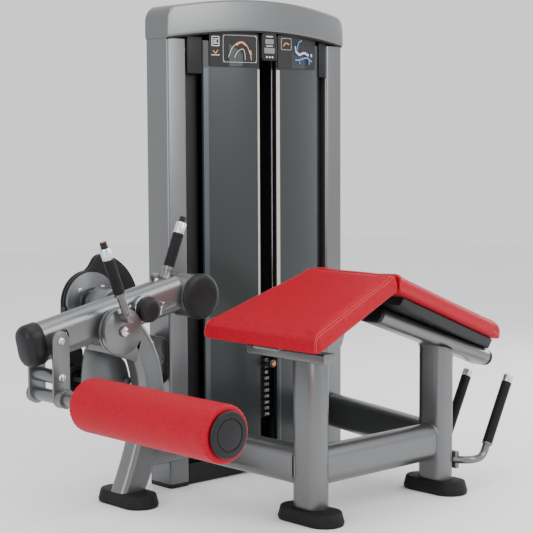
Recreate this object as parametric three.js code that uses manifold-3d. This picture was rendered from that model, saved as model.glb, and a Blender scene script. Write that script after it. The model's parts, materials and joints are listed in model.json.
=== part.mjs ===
// Prone leg curl machine: a bench with two tapered pads, a lever arm with a
// roller, and a weight tower. Millimetres, +Z up, +X from the roller towards the
// head end, +Y from the bench towards the tower.
// Points are worked out from the middle of the front post's foot, and the whole
// machine is moved at the end so that its origin is the middle of its footprint.
import * as THREE from 'three';
import { mergeVertices } from 'three/addons/utils/BufferGeometryUtils.js';
import Module from 'manifold-3d';

const wasm = await Module();
wasm.setup();

// ---------- driving dimensions ----------
const GAP = 0.3; // between faces that touch
const WALL = 4; // tube wall

const POST = { w: 76, d: 118 }; // flat oval tube, short side and long side
const RAIL = { low: 105, high: 226 };
const RIGHT_POST_X = 570;
const FRONT_POST_TOP = 528;
const HEAD_POST_TOP = 440;
const FOOT = { w: 116, l: 232, h: 42, inset: 8 };

const TOWER = { x0: -50, x1: 750, y0: 600, y1: 712, column: 80, wall: 5 };
const TOWER_MID = (TOWER.x0 + TOWER.x1) / 2;
const TOWER_Y = (TOWER.y0 + TOWER.y1) / 2;
const COLUMN_BOTTOM = 14;
const SEAM = { end: 1466, middle: 1500 }; // lower edge of the arched cap
const CAP = { end: 1540, middle: 1604, bow: 38 };

const LEG = { y: 555, thick: 72 };
const PIVOT = { x: -330, z: 638 }; // knee axis
const ARM_RISE = THREE.MathUtils.degToRad(12);
const ARM = { y: 430, from: -352, to: 165, capLength: 58 };
const DRUM = { s: 222, n: -26, r: 71, y0: 376, y1: 470 }; // counterweight
const SHAFT_R = 20;
const CAM = { r: 98, y0: 652, y1: 672 };
const FLANGE = { r: 94, y0: 640, y1: 651.7 };

const SELECTOR = { s: -107, n: -35, r: 66, y0: 350, y1: 372 };
const CARRIAGE = { s: -318, width: 58, plate: 8, frontY: 364, rearY: 487 };
const AXLE = { x: -641, z: 407 };
const ROLLER = { r: 80, y0: -350, y1: 232, bore: 30 };

const PAD = { y: 12, hip: 254, taper: 0.15, thick: 57, x0: -208, ridge: 195, x1: 812 };
const PAD_TOP = { x0: 600, ridge: 748, x1: 530 };

const STACK = { base: 180, pitch: 21, plate: 19.5, resting: 9, lifted: 4, w: 330, d: 88 };
const PULLEY_R = 50;
const IDLER_R = 38;
const BELT = { t: 3, w: 24, y: 655 };

// ---------- materials ----------
const finish = (name, color, roughness, metalness) => {
  const m = new THREE.MeshStandardMaterial({ color, roughness, metalness });
  m.name = name;
  return m;
};
const SILVER = ['silver_paint', 0x8f9192, 0.38, 0.6];
const DARK_PLASTIC = ['dark_plastic', 0x2b2b2e, 0.5, 0];
const BLACK_RUBBER = ['black_rubber', 0x1d1d1f, 0.8, 0];
const RED_VINYL = ['red_vinyl', 0xc41f2e, 0.5, 0];
const CHROME = ['chrome', 0xd9dadd, 0.12, 1];
const ALUMINIUM = ['aluminium', 0xc9ccd2, 0.25, 1];
const PLATE_STEEL = ['plate_steel', 0x1a1b1c, 0.55, 0.4];
const BELT_RUBBER = ['belt_rubber', 0x151515, 0.75, 0];
const SMOKED = ['smoked_shroud', 0x3c403e, 0.25, 0];
const ORANGE = ['orange_plastic', 0xf28a1c, 0.45, 0];

const machine = new THREE.Group();
const part = (name, geometry, look, parent = machine) => {
  const mesh = new THREE.Mesh(geometry, finish(...look));
  mesh.name = name;
  parent.add(mesh);
  return mesh;
};

// ---------- geometry helpers ----------
const v3 = (x, y, z) => new THREE.Vector3(x, y, z);

const toSolid = (geometry) => {
  const g = geometry.clone();
  g.deleteAttribute('normal');
  if (g.attributes.uv) g.deleteAttribute('uv');
  const m = mergeVertices(g, 1e-3);
  const mesh = new wasm.Mesh({
    numProp: 3,
    vertProperties: new Float32Array(m.attributes.position.array),
    triVerts: new Uint32Array(m.index.array),
  });
  mesh.merge();
  return new wasm.Manifold(mesh);
};

const toGeometry = (solid) => {
  const mesh = solid.getMesh();
  const g = new THREE.BufferGeometry();
  g.setAttribute('position', new THREE.BufferAttribute(mesh.vertProperties, 3));
  g.setIndex(new THREE.BufferAttribute(mesh.triVerts, 1));
  return g;
};

const join = (...geometries) => {
  const solids = geometries.map(toSolid);
  return toGeometry(solids.reduce((a, b) => a.add(b)));
};

const cut = (geometry, ...tools) => {
  const solids = tools.map(toSolid);
  return toGeometry(solids.reduce((a, b) => a.subtract(b), toSolid(geometry)));
};

const common = (a, b) => toGeometry(toSolid(a).intersect(toSolid(b)));

// A flat shape pushed along a line: across and up say where the shape's x and y go.
const push = (shape, depth, origin, across, up, bevel = 0) => {
  const g = new THREE.ExtrudeGeometry(shape, {
    depth: depth - 2 * bevel,
    bevelEnabled: bevel > 0,
    bevelThickness: bevel,
    bevelSize: bevel,
    bevelOffset: -bevel,
    bevelSegments: 2,
    curveSegments: 5,
  });
  if (bevel > 0) g.translate(0, 0, bevel);
  const along = across.clone().cross(up);
  g.applyMatrix4(new THREE.Matrix4().makeBasis(across, up, along).setPosition(origin));
  return g;
};
const X = v3(1, 0, 0);
const Y = v3(0, 1, 0);
const Z = v3(0, 0, 1);
// shape in X and Z, from y0 to y1
const pushY = (shape, y0, y1, bevel = 0) => push(shape, y1 - y0, v3(0, y1, 0), X, Z, bevel);
// shape in X and Y, from z0 to z1
const pushZ = (shape, z0, z1, bevel = 0) => push(shape, z1 - z0, v3(0, 0, z0), X, Y, bevel);

const polygon = (points) => new THREE.Shape(points.map(([x, y]) => new THREE.Vector2(x, y)));

// a rectangle whose corners are arcs of n steps each
const roundRect = (x0, y0, x1, y1, r, n = 3) => {
  const corners = [[x1 - r, y0 + r, -90], [x1 - r, y1 - r, 0], [x0 + r, y1 - r, 90], [x0 + r, y0 + r, 180]];
  const points = corners.flatMap(([cx, cy, start]) => [...Array(n + 1).keys()].map((i) => {
    const a = THREE.MathUtils.degToRad(start + (90 * i) / n);
    return [cx + r * Math.cos(a), cy + r * Math.sin(a)];
  }));
  return polygon(points);
};

const holeOf = (shape) => new THREE.Path(shape.getPoints(1).reverse());

// a flat oval, w across and d up, as a tube wall or solid
const oval = (w, d, wall = 0) => {
  const flat = 0.5; // keeps the two short sides from vanishing
  const r = Math.min(w, d) / 2 - flat;
  const s = roundRect(-w / 2, -d / 2, w / 2, d / 2, r, 5);
  if (wall > 0) {
    s.holes.push(holeOf(roundRect(wall - w / 2, wall - d / 2, w / 2 - wall, d / 2 - wall, r - wall, 4)));
  }
  return s;
};

const circle = (x, y, r, sides = 12) => polygon([...Array(sides).keys()].map((i) => (
  [x + r * Math.cos((2 * Math.PI * i) / sides), y + r * Math.sin((2 * Math.PI * i) / sides)])));

// a round bar or ring between two points
const rod = (a, b, r, bore = 0, sides = 16) => {
  const length = a.distanceTo(b);
  const profile = bore > 0
    ? [[bore, 0], [r, 0], [r, length], [bore, length], [bore, 0]]
    : [[0, 0], [r, 0], [r, length], [0, length]];
  return turned(profile, a, b, sides);
};

// a profile of (radius, distance) turned about the line from a towards b
const turned = (profile, a, b, sides = 20) => {
  const g = new THREE.LatheGeometry(profile.map(([r, h]) => new THREE.Vector2(r, h)), sides);
  const dir = b.clone().sub(a).normalize();
  g.applyQuaternion(new THREE.Quaternion().setFromUnitVectors(Y, dir));
  g.translate(a.x, a.y, a.z);
  return g;
};
// the same along +Y, with the axis through (x, z)
const turnedY = (profile, x, z, sides = 24) => turned(profile, v3(x, 0, z), v3(x, 1, z), sides);
const diskY = (x, z, r, y0, y1, sides = 24) => rod(v3(x, y0, z), v3(x, y1, z), r, 0, sides);

// rings of equal length joined into a closed skin, with a fan on each end
const loft = (rings) => {
  const n = rings[0].length;
  const points = rings.flat();
  const middle = (ring) => ring.reduce((s, p) => s.add(p), v3(0, 0, 0)).divideScalar(n);
  points.push(middle(rings[0]), middle(rings[rings.length - 1]));
  const index = [];
  for (let i = 0; i + 1 < rings.length; i += 1) {
    for (let j = 0; j < n; j += 1) {
      const a = i * n + j;
      const b = i * n + ((j + 1) % n);
      index.push(a, b, b + n, a, b + n, a + n);
    }
  }
  const last = (rings.length - 1) * n;
  for (let j = 0; j < n; j += 1) {
    const k = (j + 1) % n;
    index.push(points.length - 2, k, j);
    index.push(points.length - 1, last + j, last + k);
  }
  const g = new THREE.BufferGeometry().setFromPoints(points);
  g.setIndex(index);
  return g;
};

// outline of a strip of varying half width along a list of points
const strip = (points, half) => {
  const left = [];
  const right = [];
  points.forEach((p, i) => {
    const a = points[Math.max(i - 1, 0)];
    const b = points[Math.min(i + 1, points.length - 1)];
    const t = b.clone().sub(a).normalize();
    const h = half(i / (points.length - 1));
    left.push(new THREE.Vector2(p.x - t.y * h, p.y + t.x * h));
    right.push(new THREE.Vector2(p.x + t.y * h, p.y - t.x * h));
  });
  return new THREE.Shape([...right, ...left.reverse()]);
};

// ---------- bench frame ----------
const RAIL_H = RAIL.high - RAIL.low;
const RAIL_Z = (RAIL.high + RAIL.low) / 2;

const post = (x, top) => pushZ(oval(POST.w, POST.d, WALL), FOOT.h + GAP, top).translate(x, 0, 0);
part('front_post', post(0, FRONT_POST_TOP), SILVER);

// a tube of flat oval section, upright, from a to b
const rail = (a, b, w = POST.w, h = RAIL_H) => {
  const dir = b.clone().sub(a).normalize();
  const across = v3(-dir.y, dir.x, 0);
  const g = push(oval(w, h, WALL), a.distanceTo(b), a, across, Z);
  return g;
};
const POST_FACE_X = POST.w / 2 + GAP;
const POST_FACE_Y = POST.d / 2 + GAP;
part('bench_rail', rail(v3(POST_FACE_X, 0, RAIL_Z), v3(RIGHT_POST_X - POST_FACE_X, 0, RAIL_Z)), SILVER);
part('tower_rail', rail(v3(0, POST_FACE_Y, RAIL_Z), v3(0, TOWER.y0 - GAP, RAIL_Z), 72), SILVER);
const braceFrom = v3(RIGHT_POST_X + 10, POST_FACE_Y + 12, RAIL_Z);
const braceTo = v3(TOWER.x1 - 46, TOWER.y0 - 12, RAIL_Z);
part('tower_brace', rail(braceFrom, braceTo, 60), SILVER);

// curved side leg with the stub that ties it to the tower rail
const legCurve = new THREE.QuadraticBezierCurve(
  new THREE.Vector2(-262, FOOT.h + GAP),
  new THREE.Vector2(-78, 420),
  new THREE.Vector2(PIVOT.x + 22, PIVOT.z - 40),
);
const legShape = strip(legCurve.getPoints(14), (t) => 54 - 8 * t);
const legY0 = LEG.y - LEG.thick / 2;
const legY1 = LEG.y + LEG.thick / 2;
const housingTube = diskY(PIVOT.x, PIVOT.z, 52, legY0 - 6, legY1 + 6);
const stub = push(oval(60, 96), 170, v3(-212, LEG.y, 153), Y, Z);
const stopPlate = pushY(polygon([
  [-440, 510], [-400, 503], [-250, 452], [-230, 520], [-396, 548], [-440, 542],
]), legY0, legY0 + 12);
const stopBar = pushY(roundRect(-438, 510, -400, 530, 4), 405, legY0 + 4);
const legBody = join(pushY(legShape, legY0, legY1, 16), housingTube, stub, stopPlate, stopBar);
const legTrimmed = cut(
  legBody,
  diskY(PIVOT.x, PIVOT.z, 32, legY0 - 40, legY1 + 40),
  pushZ(roundRect(-36 - GAP, 400, 200, 900, 1), 60, 300),
  pushZ(roundRect(-400, 400, 0, 700, 1), 0, FOOT.h + GAP),
);
part('side_leg', legTrimmed, SILVER);
part('shaft_bush', rod(v3(PIVOT.x, legY0 - 4, PIVOT.z), v3(PIVOT.x, legY1 + 4, PIVOT.z), 31.7, SHAFT_R + 0.5, 28),
  ALUMINIUM);
part('stop_bumper', turned([[0, 0], [16, 0], [16, 18], [12, 24], [0, 24]], v3(-419, ARM.y, 530 + GAP),
  v3(-419, ARM.y, 600), 16), BLACK_RUBBER);

// rubber feet: a flared oval shoe on each floor point
const ovalRing = (x, y, z, w, l) => {
  const pts = oval(w, l).getPoints(1);
  return pts.map((p) => v3(x + p.x, y + p.y, z));
};
const foot = (x, y) => loft([
  ovalRing(x, y, 0, FOOT.w, FOOT.l),
  ovalRing(x, y, 10, FOOT.w + 4, FOOT.l + 4),
  ovalRing(x, y, 34, FOOT.w - FOOT.inset, FOOT.l - FOOT.inset),
  ovalRing(x, y, FOOT.h, FOOT.w - 20, FOOT.l - 20),
]);
part('front_foot', foot(0, 0), BLACK_RUBBER);
part('head_foot', foot(RIGHT_POST_X, 0), BLACK_RUBBER);
part('side_foot', foot(-262, LEG.y), BLACK_RUBBER);

// ---------- pads and what carries them ----------
const padHalf = (x) => PAD.hip - PAD.taper * (x - PAD.x0);
const padTop = (x) => (x < PAD.ridge
  ? THREE.MathUtils.mapLinear(x, PAD.x0, PAD.ridge, PAD_TOP.x0, PAD_TOP.ridge)
  : THREE.MathUtils.mapLinear(x, PAD.ridge, PAD.x1, PAD_TOP.ridge, PAD_TOP.x1));
const padRing = (x, shrink) => {
  const h = padHalf(x) - shrink;
  const top = padTop(x) - shrink;
  const pts = roundRect(-h, top - PAD.thick + 2 * shrink, h, top, 14).getPoints(1);
  return pts.map((p) => v3(x, PAD.y + p.x, p.y));
};
const pad = (x0, x1, roundStart, roundEnd) => loft([
  padRing(x0, roundStart ? 15 : 2),
  padRing(x0 + 10, roundStart ? 4 : 0),
  padRing(x0 + 26, 0),
  padRing(x1 - 26, 0),
  padRing(x1 - 10, roundEnd ? 4 : 0),
  padRing(x1, roundEnd ? 15 : 2),
]);
part('thigh_pad', pad(PAD.x0, PAD.ridge - 2, true, false), RED_VINYL);
part('chest_pad', pad(PAD.ridge + 2, PAD.x1, false, true), RED_VINYL);

// boards: flat in width, following the underside of the pads
const underPad = (x) => padTop(x) - PAD.thick - 1;
const board = (x0, x1, inset, thick) => {
  const ring = (x) => {
    const h = padHalf(x) - inset;
    const z = underPad(x);
    return [v3(x, PAD.y - h, z - thick), v3(x, PAD.y + h, z - thick), v3(x, PAD.y + h, z), v3(x, PAD.y - h, z)];
  };
  return loft([ring(x0), ring(x1)]);
};
const headBracket = pushY(polygon([
  [-70, FRONT_POST_TOP + GAP], [70, FRONT_POST_TOP + GAP], [120, underPad(120) - 5],
  [-120, underPad(-120) - 5],
]), -80, 90);
const crossBeam = pushY(roundRect(-95, 505, -45, 530, 6), -60, 180);
part('thigh_pad_bracket', join(board(-150, 170, 40, 8), headBracket, crossBeam), SILVER);

const tubeTop = (x) => 632 - 0.357 * (x - 262);
const shroudRing = (x, dropTop, dropLow) => {
  const h = padHalf(x) - 34;
  const top = underPad(x) - dropTop;
  const low = tubeTop(x) + GAP + dropLow;
  return [v3(x, PAD.y - h + 16, low), v3(x, PAD.y + h - 16, low), v3(x, PAD.y + h, top), v3(x, PAD.y - h, top)];
};
part('chest_pad_tray', loft([shroudRing(262, 0, 6), shroudRing(300, 0, 0), shroudRing(780, 0, 0)]), DARK_PLASTIC);

// the tube lies flat, sloping down towards the head end
const TUBE_T = 52;
const tubeUp = v3(0.357, 0, 1).normalize();
const tubeStart = v3(278, 0, tubeTop(278)).addScaledVector(tubeUp, -TUBE_T / 2);
const TUBE_LENGTH = 548;
const supportTube = push(oval(100, TUBE_T, WALL), TUBE_LENGTH, tubeStart, Y, tubeUp);
part('pad_support_tube', supportTube, SILVER);
// the head post ends in a saddle under the sloping tube
const tubeLow = (x) => tubeTop(x) - TUBE_T * Math.hypot(1, 0.357) - GAP;
const saddle = pushY(polygon([
  [RIGHT_POST_X - 45, HEAD_POST_TOP - 1], [RIGHT_POST_X + 45, HEAD_POST_TOP - 1],
  [RIGHT_POST_X + 45, tubeLow(RIGHT_POST_X + 45)], [RIGHT_POST_X - 45, tubeLow(RIGHT_POST_X - 45)],
]), -48, 48);
part('head_post', join(post(RIGHT_POST_X, HEAD_POST_TOP), saddle), SILVER);

// ---------- head handles: one bent bar on a plate, with two grips ----------
const HANDLE_Y = 86;
const HANDLE_R = 12.5;
const HANDLE_LOW = v3(722, 0, 132);
const HANDLE_HIGH = v3(834, 0, 345);
const gripDir = HANDLE_HIGH.clone().sub(HANDLE_LOW).normalize();
const at = (p, y) => v3(p.x, y, p.z);
const handleSide = (side) => {
  const y = side * HANDLE_Y;
  const path = new THREE.CurvePath();
  const corner = v3(706, y, 100);
  path.add(new THREE.LineCurve3(v3(RIGHT_POST_X + POST_FACE_X + 14, side * 44, 100), v3(640, y, 100)));
  path.add(new THREE.LineCurve3(v3(640, y, 100), v3(686, y, 100)));
  path.add(new THREE.QuadraticBezierCurve3(v3(686, y, 100), corner, at(HANDLE_LOW, y)));
  path.add(new THREE.LineCurve3(at(HANDLE_LOW, y), at(HANDLE_HIGH, y)));
  const g = new THREE.ExtrudeGeometry(circle(0, 0, HANDLE_R), { steps: 14, extrudePath: path });
  return g;
};
const collar = (side) => rod(
  at(HANDLE_LOW, side * HANDLE_Y).addScaledVector(gripDir, 8),
  at(HANDLE_LOW, side * HANDLE_Y).addScaledVector(gripDir, 16), 17, 0, 16);
const handlePlate = pushZ(
  roundRect(RIGHT_POST_X + POST_FACE_X, -56, RIGHT_POST_X + POST_FACE_X + 20, 56, 4), 72, 128);
part('head_handle_bar', join(handlePlate, handleSide(-1), handleSide(1), collar(-1), collar(1)), SILVER);
for (const [name, side] of [['head_grip_near', -1], ['head_grip_far', 1]]) {
  const base = at(HANDLE_LOW, side * HANDLE_Y).addScaledVector(gripDir, 16 + GAP);
  const top = at(HANDLE_HIGH, side * HANDLE_Y).addScaledVector(gripDir, 14);
  const length = base.distanceTo(top);
  part(name, turned([
    [HANDLE_R + GAP, 0], [17, 0], [17, length], [0, length], [0, length - 12], [HANDLE_R + GAP, length - 12],
    [HANDLE_R + GAP, 0],
  ], base, top, 18), BLACK_RUBBER);
}

// ---------- weight tower ----------
const columnShape = (x0, x1) => {
  const { y0, y1, wall } = TOWER;
  const s = roundRect(x0, y0, x1, y1, 10);
  s.holes.push(holeOf(roundRect(x0 + wall, y0 + wall, x1 - wall, y1 - wall, 6)));
  return s;
};
const column = (x0, x1) => pushZ(columnShape(x0, x1), COLUMN_BOTTOM, SEAM.end);
const beltSlot = pushZ(roundRect(TOWER.x0 - 20, BELT.y - 22, TOWER.x0 + 12, BELT.y + 22, 2), 365, 500);
const pulleyNotch = pushZ(roundRect(TOWER.x0 + 40, BELT.y - 22, TOWER.x0 + 100, BELT.y + 22, 2), 1436, 1500);
part('left_column', cut(column(TOWER.x0, TOWER.x0 + TOWER.column), beltSlot, pulleyNotch), SILVER);
part('right_column', column(TOWER.x1 - TOWER.column, TOWER.x1), SILVER);

// arched cap: a bowed plan cut by an arched front view, hollow for the pulleys
const archTo = (s, x0, z0, xm, zm, x1, z1) => s.quadraticCurveTo(xm, 2 * zm - (z0 + z1) / 2, x1, z1);
const capPlan = new THREE.Shape();
capPlan.moveTo(TOWER.x0, TOWER.y0 - 4);
archTo(capPlan, TOWER.x0, TOWER.y0 - 4, TOWER_MID, TOWER.y0 - CAP.bow, TOWER.x1, TOWER.y0 - 4);
capPlan.lineTo(TOWER.x1, TOWER.y1);
archTo(capPlan, TOWER.x1, TOWER.y1, TOWER_MID, TOWER.y1 + 24, TOWER.x0, TOWER.y1);
const CORNER = 46;
const capFront = new THREE.Shape();
capFront.moveTo(TOWER.x0, SEAM.end + GAP);
archTo(capFront, TOWER.x0, SEAM.end, TOWER_MID, SEAM.middle, TOWER.x1, SEAM.end + GAP);
capFront.lineTo(TOWER.x1, CAP.end - 10);
capFront.quadraticCurveTo(TOWER.x1, CAP.end + 26, TOWER.x1 - CORNER, CAP.end + 34);
archTo(capFront, TOWER.x1 - CORNER, CAP.end + 34, TOWER_MID, CAP.middle, TOWER.x0 + CORNER, CAP.end + 34);
capFront.quadraticCurveTo(TOWER.x0, CAP.end + 26, TOWER.x0, CAP.end - 10);
capFront.lineTo(TOWER.x0, SEAM.end + GAP);
const capSolid = common(pushZ(capPlan, 1400, 1700), pushY(capFront, 500, 800));
const capPocket = pushZ(roundRect(TOWER.x0 + 8, TOWER.y0 + 6, TOWER.x1 - 8, TOWER.y1 - 6, 6), 1400, 1568);
part('tower_cap', cut(capSolid, capPocket), SILVER);

// base beam with its four pads, one black moulding
const basePad = (x0, x1) => pushZ(roundRect(x0, TOWER.y0, x1, TOWER.y1, 10), 0, COLUMN_BOTTOM - GAP);
const baseInner0 = TOWER.x0 + TOWER.column + GAP;
const baseInner1 = TOWER.x1 - TOWER.column - GAP;
const baseBeam = pushZ(
  roundRect(TOWER.x0 + 20, TOWER.y0 + 6, TOWER.x1 - 20, TOWER.y1 - 6, 4), 2, COLUMN_BOTTOM - GAP);
const baseTray = pushZ(roundRect(baseInner0, TOWER.y0 + 6, baseInner1, TOWER.y1 - 6, 4), 2, 70);
const bumper = (x) => rod(v3(x, TOWER_Y, 60), v3(x, TOWER_Y, STACK.base - GAP), 24, 10 + GAP, 18);
const ROD_X = [TOWER_MID - 110, TOWER_MID + 110];
part('tower_base', join(
  basePad(TOWER.x0, TOWER.x0 + TOWER.column), basePad(TOWER.x1 - TOWER.column, TOWER.x1), baseBeam, baseTray,
  bumper(ROD_X[0]), bumper(ROD_X[1])), DARK_PLASTIC);

// two guide rods hung from the crosshead that also carries the top pulleys
const ROD_TOP = 1428;
const HEAD_Z = 1500; // top pulley axis
const TOP_PULLEY_X = [TOWER.x0 + 20 + PULLEY_R, TOWER_MID - PULLEY_R];
const guideRods = ROD_X.map((x) => rod(v3(x, TOWER_Y, 70 + GAP), v3(x, TOWER_Y, ROD_TOP + 6), 10, 0, 16));
const crosshead = pushZ(roundRect(baseInner0, TOWER.y0 + 10, baseInner1, TOWER.y1 - 10, 4), ROD_TOP, ROD_TOP + 8);
const beltWindow = pushZ(roundRect(TOWER_MID - 22, BELT.y - 20, TOWER_MID + 22, BELT.y + 20, 4), 1400, 1500);
const hanger = (x, low) => pushY(roundRect(x - 16, low, x + 16, HEAD_Z + 16, 14), TOWER.y1 - 26, TOWER.y1 - 20);
const hangerPin = (x) => rod(v3(x, BELT.y - 20, HEAD_Z), v3(x, TOWER.y1 - 21, HEAD_Z), 7, 0, 14);
part('guide_rods', join(
  cut(crosshead, beltWindow), ...guideRods, hanger(TOP_PULLEY_X[1], ROD_TOP + 4), hangerPin(TOP_PULLEY_X[1])), CHROME);

// the left pulley's own hanger stands on the left column's inside wall
part('column_pulley_hanger', join(
  hanger(TOP_PULLEY_X[0], SEAM.end + GAP), hangerPin(TOP_PULLEY_X[0]),
  pushZ(roundRect(TOP_PULLEY_X[0] - 60, TOWER.y1 - 40, TOP_PULLEY_X[0] + 8, TOWER.y1 - 20, 3),
    SEAM.end + GAP, SEAM.end + 8),
), SILVER);

// bowed, smoked front panels with a slit between them, and the back cover
const SHROUD = { x0: 100, x1: 632, y: 604, bow: 30, gap0: 326, gap1: 404, z0: 74, z1: 1464, t: 4 };
const shroudY = (x) => {
  const u = (x - (SHROUD.x0 + SHROUD.x1) / 2) / ((SHROUD.x1 - SHROUD.x0) / 2);
  return SHROUD.y - SHROUD.bow * (1 - u * u);
};
const bowedPanel = (x0, x1) => {
  const n = 10;
  const xs = [...Array(n + 1).keys()].map((i) => x0 + ((x1 - x0) * i) / n);
  const front = xs.map((x) => [x, shroudY(x)]);
  const back = xs.map((x) => [x, shroudY(x) + SHROUD.t]).reverse();
  return pushZ(polygon([...front, ...back]), SHROUD.z0, SHROUD.z1);
};
part('front_shroud_left', bowedPanel(SHROUD.x0, SHROUD.gap0), SMOKED);
part('front_shroud_right', bowedPanel(SHROUD.gap1, SHROUD.x1), SMOKED);
const rearShape = roundRect(
  TOWER.x0 + TOWER.column + GAP, TOWER.y1 - 5, TOWER.x1 - TOWER.column - GAP, TOWER.y1 - 1, 1);
part('rear_shroud', pushZ(rearShape, 70 + GAP, 1464), DARK_PLASTIC);
part('rep_counter', pushY(roundRect(331, 1404, 399, 1496, 9), shroudY(365) - 9, shroudY(365) + 10, 2), DARK_PLASTIC);

// ---------- weight stack ----------
const plateShape = (inset) => {
  const s = roundRect(
    TOWER_MID - STACK.w / 2 + inset, TOWER_Y - STACK.d / 2 + inset,
    TOWER_MID + STACK.w / 2 - inset, TOWER_Y + STACK.d / 2 - inset, 5, 1);
  for (const [x, r] of [[ROD_X[0], 12], [TOWER_MID, 15], [ROD_X[1], 12]]) {
    s.holes.push(holeOf(circle(x, TOWER_Y, r, 8)));
  }
  return s;
};
// plates are joined by a core that is smaller than the plates by this much
const CORE_INSET = 8;
const plates = (count, base) => {
  const slabs = [...Array(count).keys()].map((i) => (
    pushZ(plateShape(0), base + i * STACK.pitch, base + i * STACK.pitch + STACK.plate)));
  const core = pushZ(plateShape(CORE_INSET), base + 2, base + (count - 1) * STACK.pitch + STACK.plate - 2);
  return [...slabs, core];
};
part('weight_stack', join(...plates(STACK.resting, STACK.base)), PLATE_STEEL);
const liftBase = STACK.base + STACK.resting * STACK.pitch;
const liftTop = liftBase + (STACK.lifted - 1) * STACK.pitch + STACK.plate;
const PIN_Z = liftBase + STACK.plate / 2;
const stem = rod(v3(TOWER_MID, TOWER_Y, STACK.base + 8), v3(TOWER_MID, TOWER_Y, liftTop + 34), 11, 0, 16);
const stemCollar = rod(v3(TOWER_MID, TOWER_Y, liftBase + 2), v3(TOWER_MID, TOWER_Y, liftTop), 18, 0, 16);
const pinHole = rod(v3(TOWER_MID, 500, PIN_Z), v3(TOWER_MID, TOWER_Y - 2, PIN_Z), 5, 0, 12);
part('lifted_plates', cut(join(...plates(STACK.lifted, liftBase), stemCollar, stem), pinHole), PLATE_STEEL);

// selector pin: steel shank with a knob that stands out through the slit
const pinTip = v3(TOWER_MID, TOWER_Y - 3, PIN_Z);
const pinEnd = v3(TOWER_MID, 530, PIN_Z);
const PIN_L = pinTip.distanceTo(pinEnd);
part('selector_pin', turned([
  [0, 0], [4, 0], [4, PIN_L - 34], [15, PIN_L - 34], [15, PIN_L - 8], [10, PIN_L], [0, PIN_L],
], pinTip, pinEnd, 16), CHROME);

// ---------- lever arm and everything on it ----------
const armGroup = new THREE.Group();
armGroup.position.set(PIVOT.x, 0, PIVOT.z);
armGroup.rotation.y = -ARM_RISE;
machine.add(armGroup);

const armHalf = POST.w / 2;
const ARM_NEAR = ARM.y - armHalf;
const ARM_FAR = ARM.y + armHalf;
const armTube = push(oval(POST.w, POST.d, WALL), ARM.to - ARM.from, v3(ARM.from, ARM.y, 0), Y, Z);
const drum = turnedY([[0, DRUM.y0], [DRUM.r, DRUM.y0], [DRUM.r, DRUM.y0 + 8], [DRUM.r - 4, DRUM.y0 + 12],
  [DRUM.r - 4, DRUM.y1], [0, DRUM.y1]], DRUM.s, DRUM.n, 30);
const pivotBoss = diskY(0, 0, 39, ARM_NEAR - 22, ARM_FAR + 12);
const indexPlate = diskY(SELECTOR.s, SELECTOR.n, SELECTOR.r + 5, SELECTOR.y1 + GAP, ARM_NEAR + 3, 26);
const SOCKET = { s: 138, lean: 0.59 }; // handle on the arm, leaning towards the tower side
const socketFoot = v3(SOCKET.s, ARM.y, 50);
const handleDir = v3(Math.sin(SOCKET.lean), 0, Math.cos(SOCKET.lean));
const along = (a, dir, d) => a.clone().addScaledVector(dir, d);
const socket = rod(socketFoot, along(socketFoot, handleDir, 34), 15, 0, 18);
const socketRing = rod(along(socketFoot, handleDir, 26), along(socketFoot, handleDir, 40), 18, 0, 18);
const leverArm = cut(
  join(armTube, drum, pivotBoss, indexPlate, socket, socketRing),
  diskY(0, 0, SHAFT_R + GAP, 300, 600),
);
part('lever_arm', leverArm, SILVER, armGroup);

const capRing = (d, shrink) => oval(POST.w - shrink, POST.d - shrink).getPoints(1)
  .map((p) => v3(ARM.from - d, ARM.y - p.x, p.y));
part('arm_end_cap', loft([
  capRing(GAP, -6), capRing(48, -6), capRing(ARM.capLength - 12, 6), capRing(ARM.capLength, 34),
]), DARK_PLASTIC, armGroup);

part('counterweight_cap', turnedY([
  [0, DRUM.y0 - 12], [DRUM.r - 16, DRUM.y0 - 10], [DRUM.r, DRUM.y0 - 5], [DRUM.r, DRUM.y0 - GAP],
  [0, DRUM.y0 - GAP],
], DRUM.s, DRUM.n, 30), DARK_PLASTIC, armGroup);

// shaft with the flange that carries the cam
part('pivot_shaft', turnedY([
  [0, ARM_NEAR - 22], [SHAFT_R, ARM_NEAR - 22], [SHAFT_R, 604], [33, 604], [33, FLANGE.y0],
  [FLANGE.r, FLANGE.y0],
  [FLANGE.r, FLANGE.y1], [SHAFT_R, FLANGE.y1], [SHAFT_R, 684], [0, 684],
], 0, 0, 28), CHROME, armGroup);
part('shaft_knob', turnedY([
  [0, ARM_NEAR - 56], [28, ARM_NEAR - 55], [36, ARM_NEAR - 51], [39, ARM_NEAR - 45], [39, ARM_NEAR - 22 - GAP],
  [0, ARM_NEAR - 22 - GAP],
], 0, 0, 26), DARK_PLASTIC, armGroup);

// cam: round on the pull side, with a lobe that lengthens the lever as it turns
const camShape = new THREE.Shape();
camShape.absarc(0, 0, CAM.r, 1.5, 5.9);
camShape.quadraticCurveTo(190, -60, 190, -18);
camShape.quadraticCurveTo(180, 70, 112, 118);
camShape.quadraticCurveTo(70, 148, 42, 118);
camShape.quadraticCurveTo(20, 96, CAM.r * Math.cos(1.5), CAM.r * Math.sin(1.5));
const camBore = diskY(0, 0, SHAFT_R + GAP, 600, 700);
part('cam', cut(pushY(camShape, CAM.y0, CAM.y1, 2), camBore), DARK_PLASTIC, armGroup);

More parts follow.
